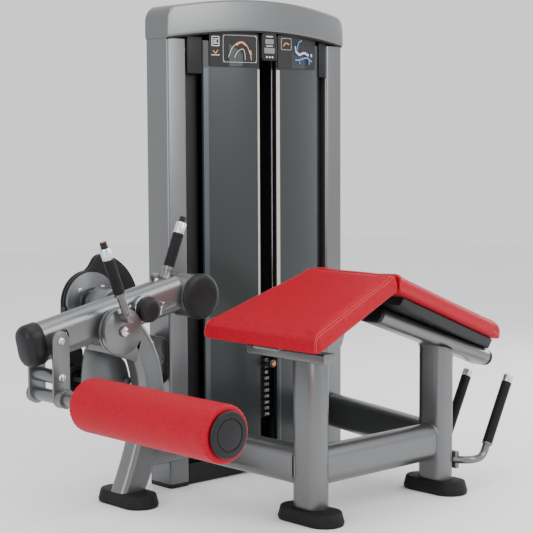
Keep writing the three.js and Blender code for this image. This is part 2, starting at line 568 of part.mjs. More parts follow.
// grip and push button of a handle that starts at foot and points along dir
const GRIP = { start: 40, end: 148, collar: 184, button: 203 };
const handleTop = (names, foot, dir, offset, parent) => {
  const d = (k) => along(foot, dir, offset + GRIP[k]);
  part(names.grip, rod(along(d('start'), dir, GAP), d('end'), 17.5, 0, 20), BLACK_RUBBER, parent);
  const tip = along(d('end'), dir, GAP);
  const length = GRIP.collar - GRIP.end - GAP;
  const collarShape = [[0, 0], [17, 0], [17, length], [10.5 + GAP, length], [10.5 + GAP, 14], [0, 14]];
  part(names.collar, turned(collarShape, tip, d('collar'), 20), ALUMINIUM, parent);
  const buttonFoot = along(tip, dir, 22);
  part(names.button, rod(buttonFoot, d('button'), 10.5, 0, 18), names.look, parent);
};
handleTop({ grip: 'arm_grip', collar: 'arm_grip_collar', button: 'arm_button', look: DARK_PLASTIC },
  socketFoot, handleDir, 0, armGroup);

// start-position selector: a disc on the arm with its own handle
const selectorHub = v3(SELECTOR.s + 2, 0, SELECTOR.n + 43);
const SELECTOR_HANDLE_Y = 322;
const selectorFoot = v3(selectorHub.x, SELECTOR_HANDLE_Y, selectorHub.z);
const SELECTOR_LEAN = -0.365 + ARM_RISE;
const selectorDir = v3(Math.sin(SELECTOR_LEAN), 0, Math.cos(SELECTOR_LEAN));
const disc = diskY(SELECTOR.s, SELECTOR.n, SELECTOR.r, SELECTOR.y0, SELECTOR.y1, 26);
const discBoss = diskY(SELECTOR.s, SELECTOR.n, 17, SELECTOR.y0 - 8, SELECTOR.y1 - 1, 18);
const hubBar = diskY(selectorHub.x, selectorHub.z, 14, SELECTOR_HANDLE_Y - 18, SELECTOR.y0 + 2, 20);
const selectorRod = rod(selectorFoot, along(selectorFoot, selectorDir, 78), 12, 0, 18);
const selectorRing = rod(along(selectorFoot, selectorDir, 74), along(selectorFoot, selectorDir, 82), 18, 0, 18);
part('start_selector', join(disc, discBoss, hubBar, selectorRod, selectorRing), SILVER, armGroup);
handleTop({ grip: 'selector_grip', collar: 'selector_collar', button: 'selector_button', look: ORANGE },
  selectorFoot, selectorDir, 42, armGroup);

// ---------- roller carriage ----------
const boltX = PIVOT.x + CARRIAGE.s * Math.cos(ARM_RISE);
const boltZ = PIVOT.z + CARRIAGE.s * Math.sin(ARM_RISE);
const halfPlate = CARRIAGE.width / 2;
const hangPlate = (y0) => pushY(
  roundRect(AXLE.x - halfPlate, AXLE.z - halfPlate, AXLE.x + halfPlate, boltZ + halfPlate, halfPlate - 0.01),
  y0, y0 + CARRIAGE.plate);
const frontEnd = CARRIAGE.frontY + CARRIAGE.plate;
const crossZ = 466;
const crossTube = diskY(AXLE.x, crossZ, 21, frontEnd + GAP, CARRIAGE.rearY + 2, 18);
const nearBoss = diskY(boltX, boltZ, 20, frontEnd - 1, ARM_NEAR - GAP, 18);
const farBoss = diskY(boltX, boltZ, 20, ARM_FAR + GAP, CARRIAGE.rearY + 1, 18);
const AXLE_BORE = 20 + GAP;
const axleHole = diskY(AXLE.x, AXLE.z, AXLE_BORE, 300, 560, 24);
part('carriage_front_plate', cut(join(hangPlate(CARRIAGE.frontY), nearBoss), axleHole), SILVER);
part('carriage_rear_plate', cut(join(hangPlate(CARRIAGE.rearY), crossTube, farBoss), axleHole), SILVER);
const rearEnd = CARRIAGE.rearY + CARRIAGE.plate;
part('roller_axle', turnedY([
  [0, ROLLER.y0 + 8], [20, ROLLER.y0 + 8], [20, CARRIAGE.frontY - 26], [28, CARRIAGE.frontY - 26],
  [28, CARRIAGE.frontY - GAP], [20, CARRIAGE.frontY - GAP],
  [20, rearEnd + GAP], [28, rearEnd + GAP], [28, rearEnd + 14], [0, rearEnd + 14],
], AXLE.x, AXLE.z, 24), SILVER);

part('roller_pad', turnedY([
  [ROLLER.bore, ROLLER.y0], [66, ROLLER.y0 - 6], [76, ROLLER.y0 - 2], [ROLLER.r, ROLLER.y0 + 10],
  [ROLLER.r, ROLLER.y1 - 10], [76, ROLLER.y1], [66, ROLLER.y1 + 3], [ROLLER.bore, ROLLER.y1],
  [ROLLER.bore, ROLLER.y0],
], AXLE.x, AXLE.z, 28), RED_VINYL);
part('roller_core', turnedY([
  [0, ROLLER.y0 - 12], [46, ROLLER.y0 - 12], [50, ROLLER.y0 - 15], [68, ROLLER.y0 - 15], [70, ROLLER.y0 - 9],
  [64, ROLLER.y0 - 6.5], [ROLLER.bore - GAP, ROLLER.y0 - 6.5], [ROLLER.bore - GAP, ROLLER.y1 + 2],
  [20.5, ROLLER.y1 + 2], [20.5, ROLLER.y0 + 6], [0, ROLLER.y0 + 6],
], AXLE.x, AXLE.z, 28), DARK_PLASTIC);

// ---------- belt, pulleys and their covers ----------
const BELT_GROOVE = BELT.t / 2 + GAP - BELT.t; // belt middle line past the pulley's rim radius
const IDLER = { x: PIVOT.x - CAM.r - GAP - BELT.t / 2 + IDLER_R + BELT_GROOVE, z: 400 };
const COLUMN_PULLEY = { x: TOWER.x0 + 20 - PULLEY_R, z: 430 };
const pulley = (name, x, z, r) => part(name, turnedY([
  [7 + GAP, BELT.y - 16], [r + 7, BELT.y - 16], [r + 7, BELT.y - 13.5], [r - BELT.t, BELT.y - 13],
  [r - BELT.t, BELT.y + 13], [r + 7, BELT.y + 13.5], [r + 7, BELT.y + 16], [7 + GAP, BELT.y + 16],
  [7 + GAP, BELT.y - 16],
], x, z, 22), DARK_PLASTIC);
pulley('idler_pulley', IDLER.x, IDLER.z, IDLER_R);
pulley('column_pulley', COLUMN_PULLEY.x, COLUMN_PULLEY.z, PULLEY_R);
pulley('top_pulley_left', TOP_PULLEY_X[0], HEAD_Z, PULLEY_R);
pulley('top_pulley_middle', TOP_PULLEY_X[1], HEAD_Z, PULLEY_R);

// the belt's middle line, wrapping each pulley on an arc
const wrap = (c, r, from, to) => {
  const steps = 8;
  return [...Array(steps + 1).keys()].map((i) => {
    const a = THREE.MathUtils.degToRad(from + ((to - from) * i) / steps);
    return new THREE.Vector2(c.x + r * Math.cos(a), c.z + r * Math.sin(a));
  });
};
const beltLine = [
  new THREE.Vector2(IDLER.x - IDLER_R - BELT_GROOVE, PIVOT.z - 8),
  ...wrap(IDLER, IDLER_R + BELT_GROOVE, 180, 274),
  ...wrap(COLUMN_PULLEY, PULLEY_R + BELT_GROOVE, 274, 360),
  ...wrap({ x: TOP_PULLEY_X[0], z: HEAD_Z }, PULLEY_R + BELT_GROOVE, 180, 90),
  ...wrap({ x: TOP_PULLEY_X[1], z: HEAD_Z }, PULLEY_R + BELT_GROOVE, 90, 0),
];
part('drive_belt', pushY(strip(beltLine, () => BELT.t / 2), BELT.y - BELT.w / 2, BELT.y + BELT.w / 2), BELT_RUBBER);
const BELT_X = TOP_PULLEY_X[1] + PULLEY_R + BELT_GROOVE;
part('stack_belt', pushY(
  roundRect(BELT_X - BELT.t / 2, liftTop + 34 + GAP, BELT_X + BELT.t / 2, HEAD_Z - GAP, 0.4),
  BELT.y - BELT.w / 2, BELT.y + BELT.w / 2), BELT_RUBBER);

// plate beside the leg that carries the idler, and the idler's cover
const idlerPlate = pushY(polygon([
  [-402, 372], [-392, 470], [-372, 506], [-300, 512], [-262, 470], [-226, 430], [-214, 330], [-300, 322], [-380, 346],
]), legY1 + 12, legY1 + 18);
const idlerPin = diskY(IDLER.x, IDLER.z, 7, legY1 + 17, BELT.y + 20, 14);
const idlerFoot = diskY(-232, 380, 12, legY1 - 6, legY1 + 13, 16);
part('idler_plate', cut(join(idlerPlate, idlerPin, idlerFoot), pushY(legShape, legY0, legY1 + GAP)), SILVER);
const coverShell = (shape, inner, y0, y1, floor) => cut(pushY(shape, y0, y1, 2), pushY(inner, y0 - 10, y1 - floor));
part('idler_cover', coverShell(
  roundRect(IDLER.x - 54, 330, IDLER.x + 54, 500, 24), roundRect(IDLER.x - 50, 300, IDLER.x + 120, 520, 20),
  BELT.y - 20, BELT.y + 28, 4), DARK_PLASTIC);
const coverShape = polygon([
  [-172, 470], [-160, 496], [-130, 512], [-96, 508], [TOWER.x0 - GAP - 1, 486], [TOWER.x0 - GAP - 1, 372],
  [-84, 352], [-118, 346], [-150, 374], [-166, 420],
]);
const coverTool = polygon([
  [-190, 462], [-154, 488], [-128, 505], [-96, 501], [0, 484], [0, 364], [-84, 359], [-116, 355], [-130, 362],
  [-190, 352],
]);
const columnCover = cut(
  pushY(coverShape, TOWER.y0 + 6, TOWER.y1 - 16, 3),
  pushY(coverTool, TOWER.y0 + 12, TOWER.y1 + 20),
);
part('column_pulley_cover', columnCover, DARK_PLASTIC);

// ---------- origin at the middle of the footprint ----------
machine.updateMatrixWorld(true);
const box = new THREE.Box3().setFromObject(machine);
machine.position.set(-(box.min.x + box.max.x) / 2, -(box.min.y + box.max.y) / 2, -box.min.z);
machine.updateMatrixWorld(true);

export default machine;
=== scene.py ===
"""Lying leg curl machine: the finished surfaces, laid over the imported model."""

import json
import math

import bmesh
import bpy
import numpy as np
from mathutils import Matrix, Vector
from mathutils.bvhtree import BVHTree


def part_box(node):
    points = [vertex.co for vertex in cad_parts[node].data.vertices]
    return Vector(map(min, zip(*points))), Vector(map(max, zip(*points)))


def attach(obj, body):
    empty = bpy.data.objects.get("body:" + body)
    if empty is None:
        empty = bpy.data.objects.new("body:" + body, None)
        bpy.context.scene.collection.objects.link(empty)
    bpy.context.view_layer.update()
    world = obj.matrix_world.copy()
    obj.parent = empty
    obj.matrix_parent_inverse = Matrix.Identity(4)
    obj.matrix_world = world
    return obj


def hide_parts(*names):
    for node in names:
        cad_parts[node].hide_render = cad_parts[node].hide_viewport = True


bl_info = {
    "name": "Lying leg curl",
    "version": (1, 0, 0),
    "blender": (4, 5, 0),
    "location": "View3D > Sidebar > Leg curl",
    "description": "Builds the lying leg curl machine over its packed model",
    "category": "Add Mesh",
}

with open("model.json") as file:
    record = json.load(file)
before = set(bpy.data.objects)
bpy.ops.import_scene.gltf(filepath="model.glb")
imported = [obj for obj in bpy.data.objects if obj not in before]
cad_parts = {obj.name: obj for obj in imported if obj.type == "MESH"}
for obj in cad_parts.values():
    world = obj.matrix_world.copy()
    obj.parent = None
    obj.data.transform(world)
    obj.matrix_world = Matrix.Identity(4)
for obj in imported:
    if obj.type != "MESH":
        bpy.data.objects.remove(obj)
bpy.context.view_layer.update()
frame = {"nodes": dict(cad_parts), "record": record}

# ---------- places, in millimetres from the middle of the front post's foot ----------
FOOT_LOW, FOOT_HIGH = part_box("front_foot")
BENCH = Vector(((FOOT_LOW[0] + FOOT_HIGH[0]) / 2, (FOOT_LOW[1] + FOOT_HIGH[1]) / 2, 0))
JOINTS = {j["name"]: j for j in frame["record"]["behaviour"]["joints"]}


def joint_place(name):
    """A joint's axis point in millimetres from the bench origin."""
    return (Vector(JOINTS[name]["pos_m"]) - BENCH) * 1000


def node_box(name):
    """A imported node's corners in millimetres from the bench origin."""
    lo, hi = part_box(name)
    return (Vector(lo) - BENCH) * 1000, (Vector(hi) - BENCH) * 1000


X, Y, Z = Vector((1, 0, 0)), Vector((0, 1, 0)), Vector((0, 0, 1))
PIVOT = joint_place("arm_swing")
AXLE = joint_place("roller_spin")
HINGE_BOLT = joint_place("carriage_tilt")
ARM_RISE = math.radians(12)
ARM = Matrix.Translation((PIVOT.x, 0, PIVOT.z)) @ Matrix.Rotation(-ARM_RISE, 4, "Y")
ARM_Y = 430
TOWER_LOW, TOWER_HIGH = node_box("left_column")[0], node_box("right_column")[1]
TOWER_MID = (TOWER_LOW.x + TOWER_HIGH.x) / 2
TOWER_Y = 656
SEAM_END, SEAM_MIDDLE = 1466, 1500
RAIL_Z, RAIL_H = 165.5, 121
SHROUD_MIDDLE, SHROUD_HALF = 366, 266


# ---------- outlines ----------
def round_rect(x0, y0, x1, y1, r, n=6):
    points = []
    for cx, cy, start in ((x1 - r, y0 + r, -90), (x1 - r, y1 - r, 0), (x0 + r, y1 - r, 90),
                          (x0 + r, y0 + r, 180)):
        for i in range(n + 1):
            a = math.radians(start + 90 * i / n)
            points.append(Vector((cx + r * math.cos(a), cy + r * math.sin(a))))
    return points


def oval(w, d, n=9):
    return round_rect(-w / 2, -d / 2, w / 2, d / 2, min(w, d) / 2 - 0.4, n)


def circle(x, y, r, sides=32):
    return [Vector((x + r * math.cos(math.tau * i / sides),
                    y + r * math.sin(math.tau * i / sides))) for i in range(sides)]


def soften(points, r, closed=True, n=4):
    """Rounds the corners of a line of points."""
    points = [Vector(p) for p in points]
    count = len(points)
    out = []
    for i, p in enumerate(points):
        if not closed and i in (0, count - 1):
            out.append(p)
            continue
        a, b = points[i - 1], points[(i + 1) % count]
        cut = min(r, (a - p).length / 2.05, (b - p).length / 2.05)
        start, end = p + (a - p).normalized() * cut, p + (b - p).normalized() * cut
        for k in range(n + 1):
            t = k / n
            out.append(start * (1 - t) ** 2 + p * 2 * t * (1 - t) + end * t * t)
    return out


def smooth_line(points, steps=8, closed=False):
    """A line through the points, curved the Catmull-Rom way."""
    points = [Vector(p) for p in points]
    n = len(points)
    out = []
    for i in range(n if closed else n - 1):
        p0 = points[i - 1] if closed or i else points[0] * 2 - points[1]
        p1, p2 = points[i], points[(i + 1) % n]
        p3 = points[(i + 2) % n] if closed or i + 2 < n else p2 * 2 - p1
        for k in range(steps):
            t = k / steps
            out.append(0.5 * (2 * p1 + (p2 - p0) * t + (2 * p0 - 5 * p1 + 4 * p2 - p3) * t * t
                              + (3 * p1 - p0 - 3 * p2 + p3) * t ** 3))
    if not closed:
        out.append(points[-1])
    return out


def inset(points, d):
    """An outline moved inwards by d, whichever way it runs."""
    n = len(points)
    area = sum(points[i - 1].x * points[i].y - points[i].x * points[i - 1].y for i in range(n))
    turn = 1 if area > 0 else -1
    out = []
    for i, p in enumerate(points):
        a = (p - points[i - 1]).normalized()
        b = (points[(i + 1) % n] - p).normalized()
        na, nb = Vector((-a.y, a.x)) * turn, Vector((-b.y, b.x)) * turn
        out.append(p + (na + nb) * (d / max(0.35, 1 + na.dot(nb))))
    return out


def band(points, half):
    """The outline of a strip of that half width along a line; half may be a function of 0 to 1."""
    left, right = [], []
    last = len(points) - 1
    for i, p in enumerate(points):
        t = (points[min(i + 1, last)] - points[max(i - 1, 0)]).normalized()
        h = half(i / last) if callable(half) else half
        left.append(Vector((p.x - t.y * h, p.y + t.x * h)))
        right.append(Vector((p.x + t.y * h, p.y - t.x * h)))
    return right + left[::-1]


# ---------- solids, added to a bmesh in millimetres ----------
def loft(bm, rings, caps=True, loop=False):
    made = [[bm.verts.new(p) for p in ring] for ring in rings]
    n = len(rings[0])
    pairs = list(zip(made, made[1:])) + ([(made[-1], made[0])] if loop else [])
    for a, b in pairs:
        for j in range(n):
            k = (j + 1) % n
            bm.faces.new((a[j], a[k], b[k], b[j]))
    if caps and not loop:
        bm.faces.new(made[0][::-1])
        bm.faces.new(made[-1])
    return made


def push(bm, outline, depth, origin, across, up, bevel=0.0, steps=3):
    """A flat outline pushed along across x up, with rounded rims."""
    origin, across, up = Vector(origin), Vector(across), Vector(up)
    along = across.cross(up)
    levels = [(0.0, 0.0), (depth, 0.0)]
    if bevel:
        arc = [math.radians(90 * i / steps) for i in range(steps + 1)]
        levels = [(bevel * (1 - math.cos(a)), bevel * (1 - math.sin(a))) for a in arc]
        levels += [(depth - h, d) for h, d in levels[::-1]]
    rings = []
    for h, d in levels:
        flat = inset(outline, d) if d else outline
        rings.append([origin + across * p.x + up * p.y + along * h for p in flat])
    return loft(bm, rings)


def push_y(bm, outline, y0, y1, bevel=0.0):
    return push(bm, outline, y1 - y0, (0, y1, 0), X, Z, bevel)


def push_z(bm, outline, z0, z1, bevel=0.0):
    return push(bm, outline, z1 - z0, (0, 0, z0), X, Y, bevel)


def lathe(bm, profile, a, b, sides=48):
    """A profile of (radius, distance) turned about the line from a towards b."""
    a, b = Vector(a), Vector(b)
    d = (b - a).normalized()
    u = d.orthogonal().normalized()
    v = d.cross(u)
    profile = [Vector(p) for p in profile]
    loop = (profile[0] - profile[-1]).length < 1e-6
    rings = []
    for p in profile[:-1] if loop else profile:
        centre = a + d * p.y
        if p.x < 1e-6:
            rings.append([bm.verts.new(centre)])
        else:
            rings.append([bm.verts.new(centre + (u * math.cos(math.tau * i / sides)
                                                 + v * math.sin(math.tau * i / sides)) * p.x) for i in range(sides)])
    for p, q in list(zip(rings, rings[1:])) + ([(rings[-1], rings[0])] if loop else []):
        for j in range(sides):
            k = (j + 1) % sides
            if len(p) == 1 and len(q) > 1:
                bm.faces.new((p[0], q[j], q[k]))
            elif len(q) == 1 and len(p) > 1:
                bm.faces.new((p[j], p[k], q[0]))
            elif len(p) > 1:
                bm.faces.new((p[j], p[k], q[k], q[j]))
    if not loop:
        for ring in (rings[0], rings[-1]):
            if len(ring) > 1:
                bm.faces.new(ring)


def lathe_y(bm, profile, x, z, sides=48):
    lathe(bm, profile, (x, 0, z), (x, 1, z), sides)


def rod(bm, a, b, r, sides=32, edge=1.0):
    a, b = Vector(a), Vector(b)
    length = (b - a).length
    lathe(bm, soften([(0, 0), (r, 0), (r, length), (0, length)], edge, closed=False, n=3), a, b, sides)


def disk_y(bm, x, z, r, y0, y1, sides=48, edge=1.0):
    rod(bm, (x, y0, z), (x, y1, z), r, sides, edge)


def sweep(bm, path, section, up=Z, loop=False, ripple=None):
    """A section, a list of flat points, carried along a path."""
    path = [Vector(p) for p in path]
    n = len(path)
    side = None
    rings = []
    for i, p in enumerate(path):
        ahead = path[(i + 1) % n] if loop or i + 1 < n else p
        behind = path[i - 1] if loop or i else p
        t = (ahead - behind).normalized()
        if side is None:
            side = t.cross(Vector(up)).normalized()
        side = (side - t * side.dot(t)).normalized()
        rise = side.cross(t)
        k = ripple(i) if ripple else 1.0
        rings.append([p + side * (q.x * k) + rise * (q.y * k) for q in section])
    loft(bm, rings, loop=loop)


def tube(bm, path, r, sides=20, loop=False, ripple=None):
    sweep(bm, path, circle(0, 0, r, sides), loop=loop, ripple=ripple)


# ---------- pieces ----------
def piece(name, bm, body, material, place=None, replaces=(), sharp=34):
    """Closes a bmesh of millimetres into an object that rides on a body."""
    bmesh.ops.remove_doubles(bm, verts=bm.verts, dist=1e-4)
    bmesh.ops.recalc_face_normals(bm, faces=bm.faces)
    if place is not None:
        bm.transform(place)
    bm.transform(Matrix.Translation(BENCH) @ Matrix.Scale(0.001, 4))
    mesh = bpy.data.meshes.new(name)
    bm.to_mesh(mesh)
    bm.free()
    return settle(name, mesh, body, material, replaces, sharp)


def settle(name, mesh, body, material, replaces=(), sharp=34):
    """Makes an object of a finished mesh in metres and puts it on its body."""
    mesh.name = name
    mesh.materials.clear()
    mesh.materials.append(material)
    mesh.polygons.foreach_set("material_index", [0] * len(mesh.polygons))
    mesh.polygons.foreach_set("use_smooth", [True] * len(mesh.polygons))
    mesh.set_sharp_from_angle(angle=math.radians(sharp))
    obj = bpy.data.objects.new(name, mesh)
    bpy.context.scene.collection.objects.link(obj)
    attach(obj, body)
    if replaces:
        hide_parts(*replaces)
    return obj


def repaint(node, material):
    """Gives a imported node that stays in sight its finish."""
    obj = frame["nodes"][node]
    obj.data.materials.clear()
    obj.data.materials.append(material)


# ---------- finishes ----------
def node(tree, kind, values=None, **settings):
    made = tree.nodes.new(kind)
    for key, value in settings.items():
        setattr(made, key, value)
    for key, value in (values or {}).items():
        made.inputs[key].default_value = value
    return made


def ramp(tree, source, low, high, start=0.3, end=0.7):
    made = node(tree, "ShaderNodeValToRGB")
    made.color_ramp.elements[0].position = start
    made.color_ramp.elements[1].position = end
    made.color_ramp.elements[0].color = (*low, 1)
    made.color_ramp.elements[1].color = (*high, 1)
    tree.links.new(source, made.inputs["Fac"])
    return made.outputs["Color"]


def noise(tree, scale, detail=3.0, stretch=(1, 1, 1)):
    coords = node(tree, "ShaderNodeTexCoord")
    mapping = node(tree, "ShaderNodeMapping", {"Scale": stretch})
    tree.links.new(coords.outputs["Object"], mapping.inputs["Vector"])
    made = node(tree, "ShaderNodeTexNoise", {"Scale": scale, "Detail": detail})
    tree.links.new(mapping.outputs["Vector"], made.inputs["Vector"])
    return made.outputs["Fac"], mapping.outputs["Vector"]


def finish(name, color, rough, metal=0.0, vary=0.06, vary_scale=9.0, rough_vary=0.05, grain=600.0,
           grain_depth=0.05,
           pattern="NOISE", stretch=(1, 1, 1), **shader):
    """A paint, plastic, metal or cover: colour and roughness drift, and a fine grain in the surface."""
    mat = bpy.data.materials.new(name)
    mat.use_nodes = True
    tree = mat.node_tree
    tree.nodes.clear()
    out = node(tree, "ShaderNodeOutputMaterial")
    surface = node(tree, "ShaderNodeBsdfPrincipled", {"Metallic": metal})
    for key, value in shader.items():
        surface.inputs[key.replace("_", " ")].default_value = value
    tree.links.new(surface.outputs["BSDF"], out.inputs["Surface"])
    drift, _ = noise(tree, vary_scale, 5.0, stretch)
    low = [c * (1 - vary) for c in color]
    high = [min(1.0, c * (1 + vary)) for c in color]
    tree.links.new(ramp(tree, drift, low, high), surface.inputs["Base Color"])
    spread = node(tree, "ShaderNodeMapRange", {"From Min": 0.3, "From Max": 0.7,
                                               "To Min": max(0.02, rough - rough_vary),
                                               "To Max": min(1.0, rough + rough_vary)})
    wear, _ = noise(tree, vary_scale * 5, 4.0, stretch)
    tree.links.new(wear, spread.inputs["Value"])
    tree.links.new(spread.outputs["Result"], surface.inputs["Roughness"])
    fine, coords = noise(tree, grain, 2.0, stretch)
    if pattern == "LEATHER":
        cells = node(tree, "ShaderNodeTexVoronoi", {"Scale": grain}, feature="DISTANCE_TO_EDGE")
        tree.links.new(coords, cells.inputs["Vector"])
        fine = cells.outputs["Distance"]
    if pattern == "RIBS":
        ribs = node(tree, "ShaderNodeTexWave", {"Scale": grain}, bands_direction="Z")
        tree.links.new(coords, ribs.inputs["Vector"])
        fine = ribs.outputs["Fac"]
    bump = node(tree, "ShaderNodeBump", {"Strength": grain_depth, "Distance": 0.001})
    tree.links.new(fine, bump.inputs["Height"])
    tree.links.new(bump.outputs["Normal"], surface.inputs["Normal"])
    return mat


FINISHES = {}


def looks():
    """The machine's finishes, made once."""
    if FINISHES:
        return FINISHES
    colors = bpy.context.scene.leg_curl_colours
    FINISHES.update(
        silver=finish("silver_powder_coat", colors.silver, 0.33, 0.85, 0.02, 700.0, 0.03, 900.0, 0.06,
                      Coat_Weight=0.15,
                      Coat_Roughness=0.25),
        chrome=finish("polished_chrome", (0.6, 0.6, 0.61), 0.2, 1.0, 0.02, 4.0, 0.03, 40.0, 0.01),
        aluminium=finish("turned_aluminium", (0.66, 0.67, 0.68), 0.34, 1.0, 0.05, 60.0, 0.06, 300.0, 0.05),
        steel=finish("zinc_bolts", (0.55, 0.56, 0.57), 0.3, 1.0, 0.08, 60.0, 0.08, 500.0, 0.05),
        vinyl=finish("red_vinyl", colors.vinyl, 0.5, 0.0, 0.1, 90.0, 0.05, 420.0, 0.5, "LEATHER",
                     Specular_IOR_Level=0.12),
        thread=finish("stitching_thread", (0.62, 0.1, 0.11), 0.6, 0.0, 0.1, 300.0, 0.1, 2500.0, 0.3),
        rubber=finish("black_rubber", (0.009, 0.009, 0.01), 0.62, 0.0, 0.2, 25.0, 0.1, 900.0, 0.12,
                      Specular_IOR_Level=0.2),
        grip=finish("ribbed_grip_rubber", (0.008, 0.008, 0.009), 0.55, 0.0, 0.2, 30.0, 0.08, 1400.0, 0.15,
                    Specular_IOR_Level=0.2),
        plastic=finish("black_moulding", (0.008, 0.008, 0.009), 0.42, 0.0, 0.2, 12.0, 0.06, 1100.0, 0.06,
                       Specular_IOR_Level=0.25),
        gloss=finish("gloss_black_moulding", (0.009, 0.009, 0.01), 0.12, 0.0, 0.2, 10.0, 0.04, 30.0, 0.02,
                     Coat_Weight=0.4),
        coat=finish("black_powder_coat", (0.011, 0.011, 0.012), 0.5, 0.1, 0.2, 30.0, 0.08, 1200.0, 0.1,
                    Specular_IOR_Level=0.2),
        belt=finish("belt_rubber", (0.01, 0.01, 0.011), 0.6, 0.0, 0.2, 40.0, 0.1, 60.0, 0.2, "RIBS"),
        smoke=finish("smoked_panel", colors.smoke, 0.3, 0.0, 0.012, 0.6, 0.02, 900.0, 0.02,
                     Specular_IOR_Level=0.3,
                     Coat_Weight=0.1, Coat_Roughness=0.12),
        # A bluish tone lighter than the smoked panels: a painted highlight, laid as thin strips along the panels'
        # edges.
        fold=finish("panel_painted_highlight", (0.05, 0.062, 0.075), 0.25, 0.0, 0.02, 3.0, 0.03, 900.0, 0.02),
        orange=finish("orange_moulding", (0.85, 0.24, 0.02), 0.32, 0.0, 0.08, 40.0, 0.05, 900.0, 0.05),
        cream=finish("cream_edge", (0.42, 0.4, 0.34), 0.45, 0.0, 0.06, 30.0, 0.05, 900.0, 0.05),
        white=finish("printed_white", (0.72, 0.73, 0.74), 0.45, 0.0, 0.05, 30.0, 0.05, 900.0, 0.03),
        print_orange=finish("printed_orange", (0.8, 0.22, 0.03), 0.45, 0.0, 0.06, 30.0, 0.05, 900.0, 0.03),
        print_blue=finish("printed_blue", (0.04, 0.22, 0.6), 0.45, 0.0, 0.06, 30.0, 0.05, 900.0, 0.03),
        print_pale=finish("printed_lavender", (0.42, 0.45, 0.62), 0.45, 0.0, 0.06, 30.0, 0.05, 900.0, 0.03),
        display=finish("display_glass", (0.16, 0.19, 0.15), 0.15, 0.0, 0.08, 50.0, 0.03, 60.0, 0.02),
        # Near-black: a painted shadow for the seam under the tower cap.
        shadow=finish("painted_seam_shadow", (0.004, 0.004, 0.004), 0.8, 0.0, 0.2, 20.0, 0.1, 600.0, 0.05),
    )
    return FINISHES


# ---------- repeats, made with Geometry Nodes ----------
def bolt_mesh(kind):
    """One bolt head, pointing along +Z, for a radius of 1."""
    bm = bmesh.new()
    if kind == "hex":
        push(bm, circle(0, 0, 1.0, 6), 0.55, (0, 0, 0.12), X, Y, 0.1, 2)
        lathe(bm, soften([(0, 0), (1.25, 0), (1.25, 0.14), (0, 0.14)], 0.05, False, 2), (0, 0, 0), (0, 0, 1),
              28)
    elif kind == "button":
        lathe(bm, [(1.0, 0), (1.0, 0.16), (0.93, 0.34), (0.78, 0.5), (0.5, 0.6), (0.36, 0.62), (0.36, 0.4),
                   (0, 0.4)],
              (0, 0, 0), (0, 0, 1), 28)
    else:
        lathe(bm, [(1.0, 0), (1.0, 0.3), (0.9, 0.4), (0, 0.42)], (0, 0, 0), (0, 0, 1), 20)
    bmesh.ops.recalc_face_normals(bm, faces=bm.faces)
    mesh = bpy.data.meshes.new(f"{kind}_head")
    bm.to_mesh(mesh)
    bm.free()
    source = bpy.data.objects.new(f"{kind}_head", mesh)
    return source


def repeat_tree(name):
    """Sets one shape on every point, turned to the point's own direction and sized by its own size."""
    tree = bpy.data.node_groups.new(name, "GeometryNodeTree")
    face = tree.interface
    face.new_socket("Points", in_out="INPUT", socket_type="NodeSocketGeometry")
    face.new_socket("Shape", in_out="INPUT", socket_type="NodeSocketObject")
    face.new_socket("Size", in_out="INPUT", socket_type="NodeSocketFloat")
    face.new_socket("Finish", in_out="INPUT", socket_type="NodeSocketMaterial")
    face.new_socket("Pieces", in_out="OUTPUT", socket_type="NodeSocketGeometry")
    start, end = tree.nodes.new("NodeGroupInput"), tree.nodes.new("NodeGroupOutput")
    shape = tree.nodes.new("GeometryNodeObjectInfo")
    onto = tree.nodes.new("GeometryNodeInstanceOnPoints")
    facing = node(tree, "GeometryNodeInputNamedAttribute", {"Name": "facing"}, data_type="FLOAT_VECTOR")
    run = node(tree, "GeometryNodeInputNamedAttribute", {"Name": "run"}, data_type="FLOAT_VECTOR")
    size = node(tree, "GeometryNodeInputNamedAttribute", {"Name": "size"}, data_type="FLOAT")
    turn = node(tree, "FunctionNodeAlignEulerToVector", axis="Z")
    roll = node(tree, "FunctionNodeAlignEulerToVector", axis="X", pivot_axis="Z")
    scale = node(tree, "ShaderNodeMath", operation="MULTIPLY")
    real = tree.nodes.new("GeometryNodeRealizeInstances")
    paint = tree.nodes.new("GeometryNodeSetMaterial")
    link = tree.links.new
    link(start.outputs["Points"], onto.inputs["Points"])
    link(start.outputs["Shape"], shape.inputs["Object"])
    link(shape.outputs["Geometry"], onto.inputs["Instance"])
    link(facing.outputs["Attribute"], turn.inputs["Vector"])
    link(turn.outputs["Rotation"], roll.inputs["Rotation"])
    link(run.outputs["Attribute"], roll.inputs["Vector"])
    link(roll.outputs["Rotation"], onto.inputs["Rotation"])
    link(size.outputs["Attribute"], scale.inputs[0])
    link(start.outputs["Size"], scale.inputs[1])
    link(scale.outputs["Value"], onto.inputs["Scale"])
    link(onto.outputs["Instances"], real.inputs["Geometry"])
    link(real.outputs["Geometry"], paint.inputs["Geometry"])
    link(start.outputs["Finish"], paint.inputs["Material"])
    link(paint.outputs["Geometry"], end.inputs["Pieces"])
    return tree


